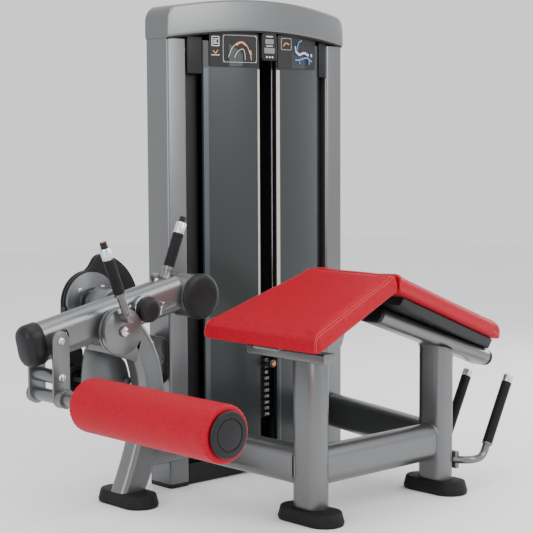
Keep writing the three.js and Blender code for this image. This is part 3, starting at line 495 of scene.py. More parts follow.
def repeat(name, shape, spots, body, material, unit=0.001):
    """One piece of many like shapes: spots are (place in mm, facing, size in mm, run)."""
    points = bpy.data.meshes.new(f"{name}_points")
    points.from_pydata([BENCH + Vector(s[0]) * 0.001 for s in spots], [], [])
    for key, kind, values in (("facing", "FLOAT_VECTOR", [tuple(Vector(s[1]).normalized()) for s in spots]),
                              ("run", "FLOAT_VECTOR", [tuple(Vector(s[3]).normalized()) for s in spots]),
                              ("size", "FLOAT", [s[2] for s in spots])):
        made = points.attributes.new(key, kind, "POINT")
        flat = np.array(values, dtype=np.float32).ravel()
        made.data.foreach_set("vector" if kind == "FLOAT_VECTOR" else "value", flat)
    tree = bpy.data.node_groups.get("set_on_points") or repeat_tree("set_on_points")
    holder = bpy.data.objects.new(f"{name}_holder", points)
    bpy.context.scene.collection.objects.link(holder)
    mod = holder.modifiers.new("set", "NODES")
    mod.node_group = tree
    sockets = {i.name: i.identifier for i in tree.interface.items_tree if i.item_type == "SOCKET"}
    mod[sockets["Shape"]] = shape
    mod[sockets["Size"]] = unit
    mod[sockets["Finish"]] = material
    graph = bpy.context.evaluated_depsgraph_get()
    mesh = bpy.data.meshes.new_from_object(holder.evaluated_get(graph), preserve_all_data_layers=False,
                                           depsgraph=graph)
    bpy.data.objects.remove(holder)
    for extra in list(mesh.attributes):
        if extra.name in ("facing", "run", "size"):
            mesh.attributes.remove(extra)
    return settle(name, mesh, body, material)


SHAPES = {}


def shape(kind):
    if kind not in SHAPES:
        SHAPES[kind] = bolt_mesh(kind) if kind in ("hex", "button", "flat") else stitch_mesh()
    return SHAPES[kind]


def stitch_mesh():
    """One stitch, lying along +X with its crown on +Z, for a length of 1."""
    bm = bmesh.new()
    rings = []
    for u in (-0.5, -0.38, -0.15, 0.15, 0.38, 0.5):
        r = 0.15 * math.sqrt(max(0.03, 1 - (2 * u) ** 4))
        lift = 0.1 * (1 - (2 * u) ** 2)
        rings.append([Vector((u, r * math.cos(a), lift + r * 0.8 * math.sin(a)))
                      for a in (math.tau * k / 6 for k in range(6))])
    loft(bm, rings)
    bmesh.ops.recalc_face_normals(bm, faces=bm.faces)
    mesh = bpy.data.meshes.new("one_stitch")
    bm.to_mesh(mesh)
    bm.free()
    return bpy.data.objects.new("one_stitch", mesh)


# ---------- settings ----------
class LegCurlSizes(bpy.types.PropertyGroup):
    bead: bpy.props.FloatProperty(name="Weld bead", description="Radius of the weld beads, in mm",
                                  default=3.2, min=0.5)
    stitch: bpy.props.FloatProperty(name="Stitch length", description="Length of one stitch, in mm",
                                    default=4.6, min=1)
    seam_pair: bpy.props.FloatProperty(name="Seam spacing", description="Distance between twin rows, in mm",
                                       default=7.5)
    puff: bpy.props.FloatProperty(name="Padding pressure", description="How hard the foam fills its cover",
                                  default=4.0)
    puff_cap: bpy.props.FloatProperty(name="Padding limit", description="Most a cover point may move",
                                      default=0.006,
                                      unit="LENGTH")
    plate_count: bpy.props.IntProperty(name="Resting plates", description="Plates under the pin", default=9,
                                       min=1)
    plate_pitch: bpy.props.FloatProperty(name="Plate pitch", description="Plate to plate, in mm",
                                         default=21.0)


class LegCurlColours(bpy.types.PropertyGroup):
    silver: bpy.props.FloatVectorProperty(name="Powder coat", description="Frame colour", subtype="COLOR",
                                          size=3,
                                          default=(0.165, 0.168, 0.17), min=0, max=1)
    vinyl: bpy.props.FloatVectorProperty(name="Vinyl", description="Pad cover colour", subtype="COLOR",
                                         size=3,
                                         default=(0.36, 0.002, 0.014), min=0, max=1)
    smoke: bpy.props.FloatVectorProperty(name="Panels", description="Smoked panel colour", subtype="COLOR",
                                         size=3,
                                         default=(0.024, 0.029, 0.028), min=0, max=1)


# ---------- shapes shared by several operators ----------
def oval_face(w, d, across):
    """How far an oval tube's wall stands out at a distance across it."""
    r = min(w, d) / 2 - 0.4
    flat = (max(w, d) / 2 - r) if d > w else 0
    over = max(0.0, abs(across) - flat)
    return w / 2 - r + math.sqrt(max(0.0, r * r - over * over))


def bead(bm, path):
    """A closed weld bead with its overlapping scales."""
    r = bpy.context.scene.leg_curl_sizes.bead
    length = sum((Vector(path[i]) - Vector(path[i - 1])).length for i in range(len(path)))
    dense = smooth_line(path, max(2, round(length / len(path) / 1.8)), closed=True)
    tube(bm, dense, r, 8, loop=True, ripple=lambda i: 0.9 + 0.16 * abs(math.sin(i * 0.8)))


def slanted_oval(x, top):
    return [Vector((x + p.x, p.y, top(x + p.x))) for p in oval(76, 118)]


def tube_top(x):
    return 632 - 0.357 * (x - 262)


def pad_half(x):
    return 254 - 0.15 * (x + 208)


def pad_top(x):
    if x < 195:
        return 600 + (x + 208) * 148 / 403
    return 748 - (x - 195) * 218 / 617


def arm_line(s, n, y=ARM_Y):
    return ARM @ Vector((s, y, n))


class LEGCURL_OT_frame_tubes(bpy.types.Operator):
    """Builds the posts, the floor rails, the brace and their weld beads"""
    bl_idname = "legcurl.frame_tubes"
    bl_label = "Frame tubes"

    def execute(self, context):
        look = looks()
        bm = bmesh.new()
        push_z(bm, oval(76, 118), 42.3, 528, 1.5)
        piece("front_post_tube", bm, "frame", look["silver"], replaces=["front_post"])
        bm = bmesh.new()
        low = [Vector((570 + p.x, p.y, 42.3)) for p in oval(76, 118)]
        loft(bm, [low, slanted_oval(570, lambda x: tube_top(x) - 52 * math.hypot(1, 0.357) + 1)])
        piece("head_post_tube", bm, "frame", look["silver"], replaces=["head_post"])
        bm = bmesh.new()
        push(bm, oval(76, RAIL_H), 520, (25, 0, RAIL_Z), Y, Z)
        piece("bench_rail_tube", bm, "frame", look["silver"], replaces=["bench_rail"])
        bm = bmesh.new()
        push(bm, oval(72, RAIL_H), 556, (0, 44, RAIL_Z), -X, Z)
        piece("tower_rail_tube", bm, "frame", look["silver"], replaces=["tower_rail"])
        bm = bmesh.new()
        start, end = Vector((574, 30, RAIL_Z)), Vector((703.7, 593, RAIL_Z))
        run = (end - start).normalized()
        push(bm, oval(60, RAIL_H), (end - start).length, start, Vector((-run.y, run.x, 0)), Z)
        piece("tower_brace_tube", bm, "frame", look["silver"], replaces=["tower_brace"])
        bm = bmesh.new()
        for x, sign, w in ((0, 1, 76), (570, -1, 76)):
            bead(bm, [(x + sign * oval_face(76, 118, p.x), p.x, RAIL_Z + p.y) for p in oval(w, RAIL_H, 6)])
        bead(bm, [(p.x, 21.5 + math.sqrt(max(0, 37.6 ** 2 - p.x ** 2)), RAIL_Z + p.y) for p in oval(72,
            RAIL_H, 6)])
        bead(bm, [(p.x, 599, RAIL_Z + p.y) for p in oval(72, RAIL_H, 6)])
        bead(bm, [(582 + p.x + 0.22 * 40, 44 + math.sqrt(max(0, 30 ** 2 - p.x ** 2)) * 0.5, RAIL_Z + p.y)
                  for p in oval(60, RAIL_H, 6)])
        loop = [Vector((p.x, p.y, q)) for p, q in zip(slanted_oval(570, lambda x: 0),
                [tube_top(570 + p.x) - 52 * math.hypot(1, 0.357) for p in oval(76, 118)])]
        bead(bm, loop[::3])
        piece("frame_weld_beads", bm, "frame", look["silver"])
        return {"FINISHED"}


class LEGCURL_OT_side_leg(bpy.types.Operator):
    """Builds the curved side leg with its bearing housing, stub and stop"""
    bl_idname = "legcurl.side_leg"
    bl_label = "Side leg"

    def execute(self, context):
        look = looks()
        a, b, c = Vector((-262, 42.3)), Vector((-78, 420)), Vector((PIVOT.x + 22, PIVOT.z - 40))
        line = [a * (1 - t) ** 2 + b * 2 * t * (1 - t) + c * t * t for t in (i / 48 for i in range(49))]
        bm = bmesh.new()
        rings = []
        for i, p in enumerate(line):
            run = (line[min(i + 1, 48)] - line[max(i - 1, 0)]).normalized()
            side = Vector((1, 0)).lerp(Vector((run.y, -run.x)), min(1, i / 12)).normalized()
            half = 52 - 8 * i / 48
            rings.append([Vector((p.x + side.x * q.x, 555 + q.y, p.y + side.y * q.x))
                          for q in round_rect(-half, -36, half, 36, 22, 8)])
        loft(bm, rings)
        ring = [(0, 0), (52, 0), (52, 84), (0, 84)]
        lathe_y(bm, [(r, 513 + h) for r, h in soften(ring, 3, False, 3)], PIVOT.x, PIVOT.z, 64)
        push(bm, oval(60, 96), 176, (-212, 555, 153), Y, Z)
        plate = soften([(-440, 510), (-400, 503), (-250, 452), (-230, 520), (-396, 548), (-440, 542)], 8)
        push_y(bm, plate, 519, 531, 1.5)
        push_y(bm, round_rect(-438, 510, -400, 530, 4), 405, 523, 1.5)
        piece("side_leg_body", bm, "frame", look["silver"], replaces=["side_leg"])
        bm = bmesh.new()
        lathe_y(bm, [(20.6, 511), (29, 511), (31.5, 512.5), (31.5, 598), (29, 600), (20.6, 600), (20.6, 511)],
                PIVOT.x, PIVOT.z, 48)
        piece("bearing_bush", bm, "frame", look["aluminium"], replaces=["shaft_bush"])
        bm = bmesh.new()
        lathe(bm, soften([(0, 0), (16, 0), (16, 18), (11, 24), (0, 24)], 4, False), (-419, ARM_Y, 530.3),
              (-419, ARM_Y, 600), 40)
        piece("rest_bumper", bm, "frame", look["rubber"], replaces=["stop_bumper"])
        return {"FINISHED"}


class LEGCURL_OT_feet(bpy.types.Operator):
    """Builds the three flared rubber shoes"""
    bl_idname = "legcurl.feet"
    bl_label = "Feet"

    def execute(self, context):
        look = looks()
        for name, x, y in (("front_foot", 0, 0), ("head_foot", 570, 0), ("side_foot", -262, 555)):
            bm = bmesh.new()
            levels = [(0, 8), (0.4, 2), (3, 0), (9, -3.4), (12, -3.4), (13.5, -0.5), (15, -0.5), (22, 3),
                      (34, 9), (39, 12),
                      (41.4, 17), (42, 22)]
            loft(bm, [[Vector((x + p.x, y + p.y, z)) for p in oval(116 - d, 232 - d, 14)] for z, d in levels])
            piece(f"{name}_shoe", bm, "frame", look["rubber"], replaces=[name])
        return {"FINISHED"}


# ---------- padding ----------
def stuff(name, bm, held, sizes, voxel=0.006):
    """Fills a closed cover with foam: cloth under pressure, each point's move capped, then one subdivision."""
    bmesh.ops.remove_doubles(bm, verts=bm.verts, dist=1e-4)
    bmesh.ops.recalc_face_normals(bm, faces=bm.faces)
    bm.transform(Matrix.Translation(BENCH) @ Matrix.Scale(0.001, 4))
    mesh = bpy.data.meshes.new(name)
    bm.to_mesh(mesh)
    bm.free()
    scene = bpy.context.scene
    cover = bpy.data.objects.new(f"{name}_cover", mesh)
    scene.collection.objects.link(cover)
    remesh = cover.modifiers.new("even", "REMESH")
    remesh.mode = "VOXEL"
    remesh.voxel_size = voxel
    graph = bpy.context.evaluated_depsgraph_get()
    even = bpy.data.meshes.new_from_object(cover.evaluated_get(graph))
    cover.modifiers.clear()
    cover.data = even
    rest = np.empty(len(even.vertices) * 3)
    even.vertices.foreach_get("co", rest)
    rest = rest.reshape(-1, 3)
    places = (rest - np.array(BENCH)) * 1000
    group = cover.vertex_groups.new(name="held")
    group.add([i for i, p in enumerate(places) if held(p)], 1.0, "REPLACE")
    cloth = cover.modifiers.new("foam", "CLOTH")
    s = cloth.settings
    s.quality = 4
    s.mass = 0.3
    s.tension_stiffness = s.compression_stiffness = 12
    s.shear_stiffness = 5
    s.bending_stiffness = 0.6
    s.use_pressure = True
    s.uniform_pressure_force = sizes.puff
    s.vertex_group_mass = "held"
    s.effector_weights.gravity = 0
    cloth.point_cache.frame_start, cloth.point_cache.frame_end = 1, 20
    for f in range(1, 21):
        scene.frame_set(f)
    graph = bpy.context.evaluated_depsgraph_get()
    blown = cover.evaluated_get(graph).data
    moved = np.empty(len(blown.vertices) * 3)
    blown.vertices.foreach_get("co", moved)
    step = moved.reshape(-1, 3) - rest
    length = np.linalg.norm(step, axis=1, keepdims=True)
    limit = sizes.puff_cap
    step *= limit * np.tanh(length / limit) / np.maximum(length, 1e-9)
    even.vertices.foreach_set("co", (rest + step).ravel())
    cover.modifiers.clear()
    scene.frame_set(1)
    fine = cover.modifiers.new("fine", "SUBSURF")
    fine.levels = fine.render_levels = 1
    graph = bpy.context.evaluated_depsgraph_get()
    result = bpy.data.meshes.new_from_object(cover.evaluated_get(graph))
    bpy.data.objects.remove(cover)
    return result


def crease(mesh, paths, depth=0.0012, reach=0.004):
    """Presses seams into a cover along lines of points in metres."""
    count = len(mesh.vertices)
    co = np.empty(count * 3)
    normal = np.empty(count * 3)
    mesh.vertices.foreach_get("co", co)
    mesh.vertices.foreach_get("normal", normal)
    co, normal = co.reshape(-1, 3), normal.reshape(-1, 3)
    near = np.full(count, 1.0)
    for path in paths:
        for a, b in zip(path, path[1:]):
            a, b = np.array(a), np.array(b)
            run = b - a
            size = max(run.dot(run), 1e-12)
            box = np.all((co > np.minimum(a, b) - 3 * reach) & (co < np.maximum(a, b) + 3 * reach), axis=1)
            t = np.clip((co[box] - a) @ run / size, 0, 1)
            gap = np.linalg.norm(co[box] - a - t[:, None] * run, axis=1)
            near[box] = np.minimum(near[box], gap)
    co -= normal * (depth * np.exp(-(near / reach) ** 2))[:, None]
    mesh.vertices.foreach_set("co", co.ravel())


def onto(mesh, points):
    """Points in mm moved to the nearest place on a cover: (places in metres, facings)."""
    bm = bmesh.new()
    bm.from_mesh(mesh)
    tree = BVHTree.FromBMesh(bm)
    bm.free()
    found = [tree.find_nearest(BENCH + Vector(p) * 0.001) for p in points]
    return [f[0] for f in found], [f[1] for f in found]


def even_spaced(points, step):
    """A line's points at equal steps."""
    points = [Vector(p) for p in points]
    out, left = [points[0]], step
    for a, b in zip(points, points[1:]):
        run = (b - a).length
        done = 0.0
        while run - done >= left:
            done += left
            out.append(a + (b - a) * (done / run))
            left = step
        left -= run - done
    return out


def stitch_rows(mesh, rows, sizes):
    """Rows of stitches on a cover, given as lines of points in mm near its surface."""
    spots, lines = [], []
    for row in rows:
        points = even_spaced(row, sizes.stitch * 1.3)
        places, facings = onto(mesh, points)
        lines.append(places)
        for i, (p, f) in enumerate(zip(places, facings)):
            ahead = places[min(i + 1, len(places) - 1)] - places[max(i - 1, 0)]
            spots.append(((p - BENCH) * 1000 + f * 0.15, f, sizes.stitch, ahead))
    return spots, lines


def pad_cover(ends):
    """A pad's cover before it's filled: rings of rounded section along X."""
    bm = bmesh.new()
    rings = []
    for x, shrink in ends:
        h = pad_half(x) - 3 - shrink
        top = pad_top(x) - 4 - shrink * 0.6
        low = pad_top(x) - 57 + shrink * 0.6
        rings.append([Vector((x, 12 + p.x, p.y)) for p in round_rect(-h, low, h, top, 15, 5)])
    loft(bm, rings)
    return bm


def edge_row(xs, end_x, inward, drop, side):
    """A seam row along a pad's side edge, then down the corner at its end."""
    row = [(x, 12 + side * (pad_half(x) - inward), pad_top(x)) for x in xs]
    x = xs[-1]
    out = side * (pad_half(x) - drop)
    row.append((x + (end_x - x) * 0.55, 12 + side * (pad_half(x) - (inward + drop) / 2), pad_top(x) - 4))
    row += [(end_x, 12 + out, pad_top(end_x) - 14), (end_x, 12 + out, pad_top(end_x) - 50)]
    return smooth_line(row, 6)


class LEGCURL_OT_pads(bpy.types.Operator):
    """Builds the thigh pad and the chest pad, filled and sewn"""
    bl_idname = "legcurl.pads"
    bl_label = "Pads"

    def execute(self, context):
        look, sizes = looks(), context.scene.leg_curl_sizes
        hip = [(-205, 16), (-201, 8), (-194, 3), (-184, 0)]
        ridge = [(186, 0), (191, 2)]
        thigh = pad_cover(hip + [(x, 0) for x in range(-160, 180, 20)] + ridge)
        head = [(782, 0), (796, 3), (804, 8), (808, 16)]
        chest = pad_cover([(199, 2), (204, 0)] + [(x, 0) for x in range(224, 780, 20)] + head)

        def under(p):
            return p[2] < pad_top(p[0]) - 50

        meshes = {"thigh_pad": stuff("thigh_pad", thigh, under, sizes),
                  "chest_pad": stuff("chest_pad", chest, under, sizes)}
        rows = {"thigh_pad": [], "chest_pad": []}
        for side in (-1, 1):
            for inward, drop in ((9, 9), (9 + sizes.seam_pair * 1.6, 9 + sizes.seam_pair)):
                rows["thigh_pad"].append(edge_row(list(range(186, -190, -12)), -207, inward, drop, side))
                rows["chest_pad"].append(edge_row(list(range(206, 786, 12)), 811, inward, drop, side))
        for name, mesh in meshes.items():
            spots, lines = stitch_rows(mesh, rows[name], sizes)
            crease(mesh, lines)
            settle(f"{name}_cover", mesh, "frame", look["vinyl"], [name], 60)
            repeat(f"{name}_stitching", shape("stitch"), spots, "frame", look["thread"])
        return {"FINISHED"}


class LEGCURL_OT_pad_carriers(bpy.types.Operator):
    """Builds the boards, bracket, tray and sloping tube under the pads"""
    bl_idname = "legcurl.pad_carriers"
    bl_label = "Pad carriers"

    def execute(self, context):
        look = looks()
        def under(x):
            return pad_top(x) - 58

        def wedge(x, inset_y, z0, z1):
            h = pad_half(x) - inset_y
            return [Vector((x, 12 - h, z0)), Vector((x, 12 + h, z0)), Vector((x, 12 + h, z1)),
                    Vector((x, 12 - h, z1))]

        bm = bmesh.new()
        loft(bm, [wedge(x, 55, under(x) - 7, under(x) + 0.5) for x in (-150, 150)])
        piece("thigh_pad_board", bm, "frame", look["coat"])
        bm = bmesh.new()
        outline = [(-70, 528.3), (70, 528.3), (120, under(120) - 9), (-120, under(-120) - 9)]
        push_y(bm, soften(outline, 6), -60, 60, 1.5)
        push_y(bm, round_rect(-95, 500, -45, 530, 6), -150, 180, 1.5)
        push(bm, round_rect(-52, -4, 52, 4, 2), 380, Vector((-172, 12, under(-172) - 16)), Y,
             Vector((-0.345, 0, 0.939)))
        piece("thigh_pad_bracket_body", bm, "frame", look["silver"],
              replaces=["thigh_pad_bracket"])
        bm = bmesh.new()
        xs = [262, 268, 300] + list(range(340, 781, 40)) + [786]
        rings = []
        for x in xs:
            h = pad_half(x) - 34
            high, low = under(x), tube_top(x) + 0.6 + (8 if x < 270 else 0)
            outline = soften([(-h + 18, low), (h - 18, low), (h, high), (-h, high)], 8)
            rings.append([Vector((x, 12 + p.x, p.y)) for p in outline])
        loft(bm, rings)
        piece("chest_pad_tray_shell", bm, "frame", look["plastic"],
              replaces=["chest_pad_tray"])
        slope = Vector((1, 0, -0.357)).normalized()
        rise = Vector((0.357, 0, 1)).normalized()
        start = Vector((278, 0, tube_top(278))) - rise * 26
        bm = bmesh.new()
        push(bm, oval(100, 52), 548, start, Y, rise, 0.8)
        piece("pad_support_tube_body", bm, "frame", look["silver"],
              replaces=["pad_support_tube"])
        bm = bmesh.new()
        push(bm, oval(100, 52), 16, start - slope * 15, Y, rise, 5)
        push(bm, oval(100, 52), 16, start + slope * 547, Y, rise, 5)
        piece("support_tube_caps", bm, "frame", look["plastic"])
        return {"FINISHED"}


class LEGCURL_OT_head_handles(bpy.types.Operator):
    """Builds the pair of bent handles at the head end"""
    bl_idname = "legcurl.head_handles"
    bl_label = "Head handles"

    def execute(self, context):
        look = looks()
        low, high = Vector((722, 0, 132)), Vector((834, 0, 345))
        run = (high - low).normalized()
        bars, grips, ends = bmesh.new(), bmesh.new(), bmesh.new()
        push_z(bars, round_rect(608.3, -54, 627, 54, 4), 72, 128, 3)
        for side in (-1, 1):
            y = Vector((0, side * 86, 0))
            path = soften([Vector((612, side * 40, 100)), Vector((642, y.y, 100)), Vector((705, y.y, 100)),
                           high + y], 28,
                          False, 12)
            tube(bars, path, 12.5, 28)
            foot = low + y + run * 8
            rod(bars, foot, foot + run * 8, 17, 36, 2)
            base = low + y + run * 16.3
            top = high + y - run * 12
            length = (top - base).length
            profile = [(0, 0), (15.5, 0), (17, 1.5)]
            k = 6.0
            while k < length - 8:
                profile += [(17, k), (16.2, k + 0.8), (16.2, k + 2.4), (17, k + 3.2)]
                k += 6.4
            lathe(grips, profile + [(17, length - 1.5), (15.5, length), (0, length)], base, top, 36)
            lathe(ends, soften([(0, 0.2), (17, 0.2), (17.2, 22), (15, 25.5), (0, 26)], 1.2, False, 3), top,
                  top + run * 10, 40)
        piece("head_handle_tubes", bars, "frame", look["silver"],
              replaces=["head_handle_bar"])
        piece("head_handle_grips", grips, "frame", look["grip"],
              replaces=["head_grip_near", "head_grip_far"])
        piece("head_handle_ends", ends, "frame", look["aluminium"])
        return {"FINISHED"}


# ---------- weight tower ----------
def shroud_y(x):
    u = (x - SHROUD_MIDDLE) / SHROUD_HALF
    return 604 - 30 * (1 - u * u)


def arch(x, end, middle):
    """Height of an arch that is end at the tower's sides and middle at its centre."""
    u = (x - TOWER_MID) / ((TOWER_HIGH.x - TOWER_LOW.x) / 2)
    return middle - (middle - end) * u * u


def cap_top(x):
    from_end = min(x - TOWER_LOW.x, TOWER_HIGH.x - x)
    if from_end >= 46:
        u = (x - TOWER_MID) / ((TOWER_HIGH.x - TOWER_LOW.x) / 2 - 46)
        return 1604 - 30 * u * u - 0.9
    t = from_end / 46
    return 1530 + 44 * math.sqrt(max(0.0, 1 - (1 - t) ** 2)) - 0.9


class LEGCURL_OT_tower(bpy.types.Operator):
    """Builds the columns, the arched cap with a painted shadow band under it, the base and the dark interior"""
    bl_idname = "legcurl.tower"
    bl_label = "Tower"

    def execute(self, context):
        look = looks()
        for name, x0, x1 in (("left_column", TOWER_LOW.x, TOWER_LOW.x + 80),
                             ("right_column", TOWER_HIGH.x - 80, TOWER_HIGH.x)):
            bm = bmesh.new()
            outline = round_rect(x0, 600, x1, 712, 10, 8)
            push_z(bm, outline, 14, SEAM_END, 1)
            piece(f"{name}_tube", bm, "frame", look["silver"], replaces=[name])
        x0, x1 = TOWER_LOW.x + 0.2, TOWER_HIGH.x - 0.2
        xs = [x0 + 46 * (1 - math.cos(math.radians(6 * i))) for i in range(16)]
        xs += [x0 + 46 + (x1 - x0 - 92) * i / 40 for i in range(1, 40)]
        xs += [x1 - 46 * (1 - math.cos(math.radians(6 * i))) for i in range(15, -1, -1)]
        rings = []
        for x in xs:
            front = arch(x, 596, 563)
            back = arch(x, 711.8, 724)
            low, top = arch(x, SEAM_END + 0.5, SEAM_MIDDLE), cap_top(x)
            outline = soften([(front, low), (back, low), (back, top), (front, top)], 10, True, 6)
            rings.append([Vector((x, p.x, p.y)) for p in outline])
        bm = bmesh.new()
        loft(bm, rings)
        piece("tower_cap_shell", bm, "frame", look["silver"], replaces=["tower_cap"],
              sharp=50)
        # A thin near-black band just under the cap's lower edge: a painted shadow in the seam between the cap and the
        # columns and panels.
        bm = bmesh.new()
        rings = []
        for x in xs[2:-2]:
            front, back = arch(x, 599, 567), arch(x, 708, 718)
            high = arch(x, SEAM_END + 0.5, SEAM_MIDDLE) + 3
            low = high - 7
            rings.append([Vector((x, front, low)), Vector((x, back, low)), Vector((x, back, high)),
                          Vector((x, front, high))])
        loft(bm, rings)
        piece("cap_gasket", bm, "frame", look["shadow"])
        bm = bmesh.new()
        inner0, inner1 = TOWER_LOW.x + 80.3, TOWER_HIGH.x - 80.3
        for a, b in ((TOWER_LOW.x, TOWER_LOW.x + 80), (TOWER_HIGH.x - 80, TOWER_HIGH.x)):
            push_z(bm, round_rect(a, 600, b, 712, 10), 0, 13.7, 2)
        push_z(bm, round_rect(inner0, 606, inner1, 706, 4), 2, 70, 3)
        for x in (TOWER_MID - 110, TOWER_MID + 110):
            rod(bm, (x, TOWER_Y, 66), (x, TOWER_Y, 179.6), 24, 36, 3)
        piece("tower_base_moulding", bm, "frame", look["plastic"], replaces=["tower_base"])
        bm = bmesh.new()
        push_z(bm, round_rect(inner0, 706.5, inner1, 711.5, 2), 70.3, 1464, 0.6)
        for k in range(9):
            z = 150 + k * 150
            push_z(bm, round_rect(inner0 + 30, 704.5, inner1 - 30, 707, 1), z, z + 6)
        piece("back_cover", bm, "frame", look["coat"], replaces=["rear_shroud"])
        bm = bmesh.new()
        for a, b in ((TOWER_LOW.x + 80.4, 99), (633, TOWER_HIGH.x - 80.4)):
            push_z(bm, round_rect(a, 628, b, 640, 3), 70, 1460, 1)
        push_z(bm, round_rect(34, 600, 97, 609, 3), 1356, 1476, 2)
        push_z(bm, round_rect(634, 600, 669, 609, 3), 1356, 1476, 2)
        rings = []
        for x in [36 + (628 * i / 24) for i in range(25)]:
            high = arch(x, SEAM_END, SEAM_MIDDLE) - 2
            rings.append([Vector((x, 698, 1440)), Vector((x, 704, 1440)), Vector((x, 704, high)),
                          Vector((x, 698, high))])
        loft(bm, rings)
        piece("shroud_side_posts", bm, "frame", look["plastic"])
        return {"FINISHED"}


def bowed(bm, x0, x1, z0, z1, out, thick, r=0.0, n=24):
    """A plate that follows the bowed panels, out in front of them by a distance."""
    outline = round_rect(x0, z0, x1, z1, r, 4) if r else [Vector(p) for p in ((x0, z0), (x1, z0), (x1, z1),
        (x0, z1))]
    dense = []
    for i, p in enumerate(outline):
        q = outline[(i + 1) % len(outline)]
        steps = max(1, round(abs(q.x - p.x) / ((x1 - x0) / n)))
        dense += [p + (q - p) * (k / steps) for k in range(steps)]
    grid = [[Vector((p.x, shroud_y(p.x) - out, p.y)) for p in dense],
            [Vector((p.x, shroud_y(p.x) - out + thick, p.y)) for p in dense]]
    xs = [x0 + (x1 - x0) * k / n for k in range(n + 1)]
    if not r:
        rings = []
        for x in xs:
            y = shroud_y(x) - out
            rings.append([Vector((x, y, z0)), Vector((x, y + thick, z0)), Vector((x, y + thick, z1)),
                          Vector((x, y, z1))])
        loft(bm, rings)
    else:
        loft(bm, grid)


def stroke(bm, points, width, out, thick=0.5, loop=False):
    """A printed line on the bowed panels, through (x, z) points."""
    line = smooth_line([Vector(p) for p in points], 5, loop)
    if loop:
        line.append(line[0])
    rings = []
    for i, p in enumerate(line):
        t = (line[min(i + 1, len(line) - 1)] - line[max(i - 1, 0)]).normalized()
        side = Vector((-t.y, t.x)) * width / 2
        a, b = p + side, p - side
        ya, yb = shroud_y(a.x) - out, shroud_y(b.x) - out
        rings.append([Vector((a.x, ya, a.y)), Vector((a.x, ya + thick, a.y)), Vector((b.x, yb + thick, b.y)),
                      Vector((b.x, yb, b.y))])
    loft(bm, rings)


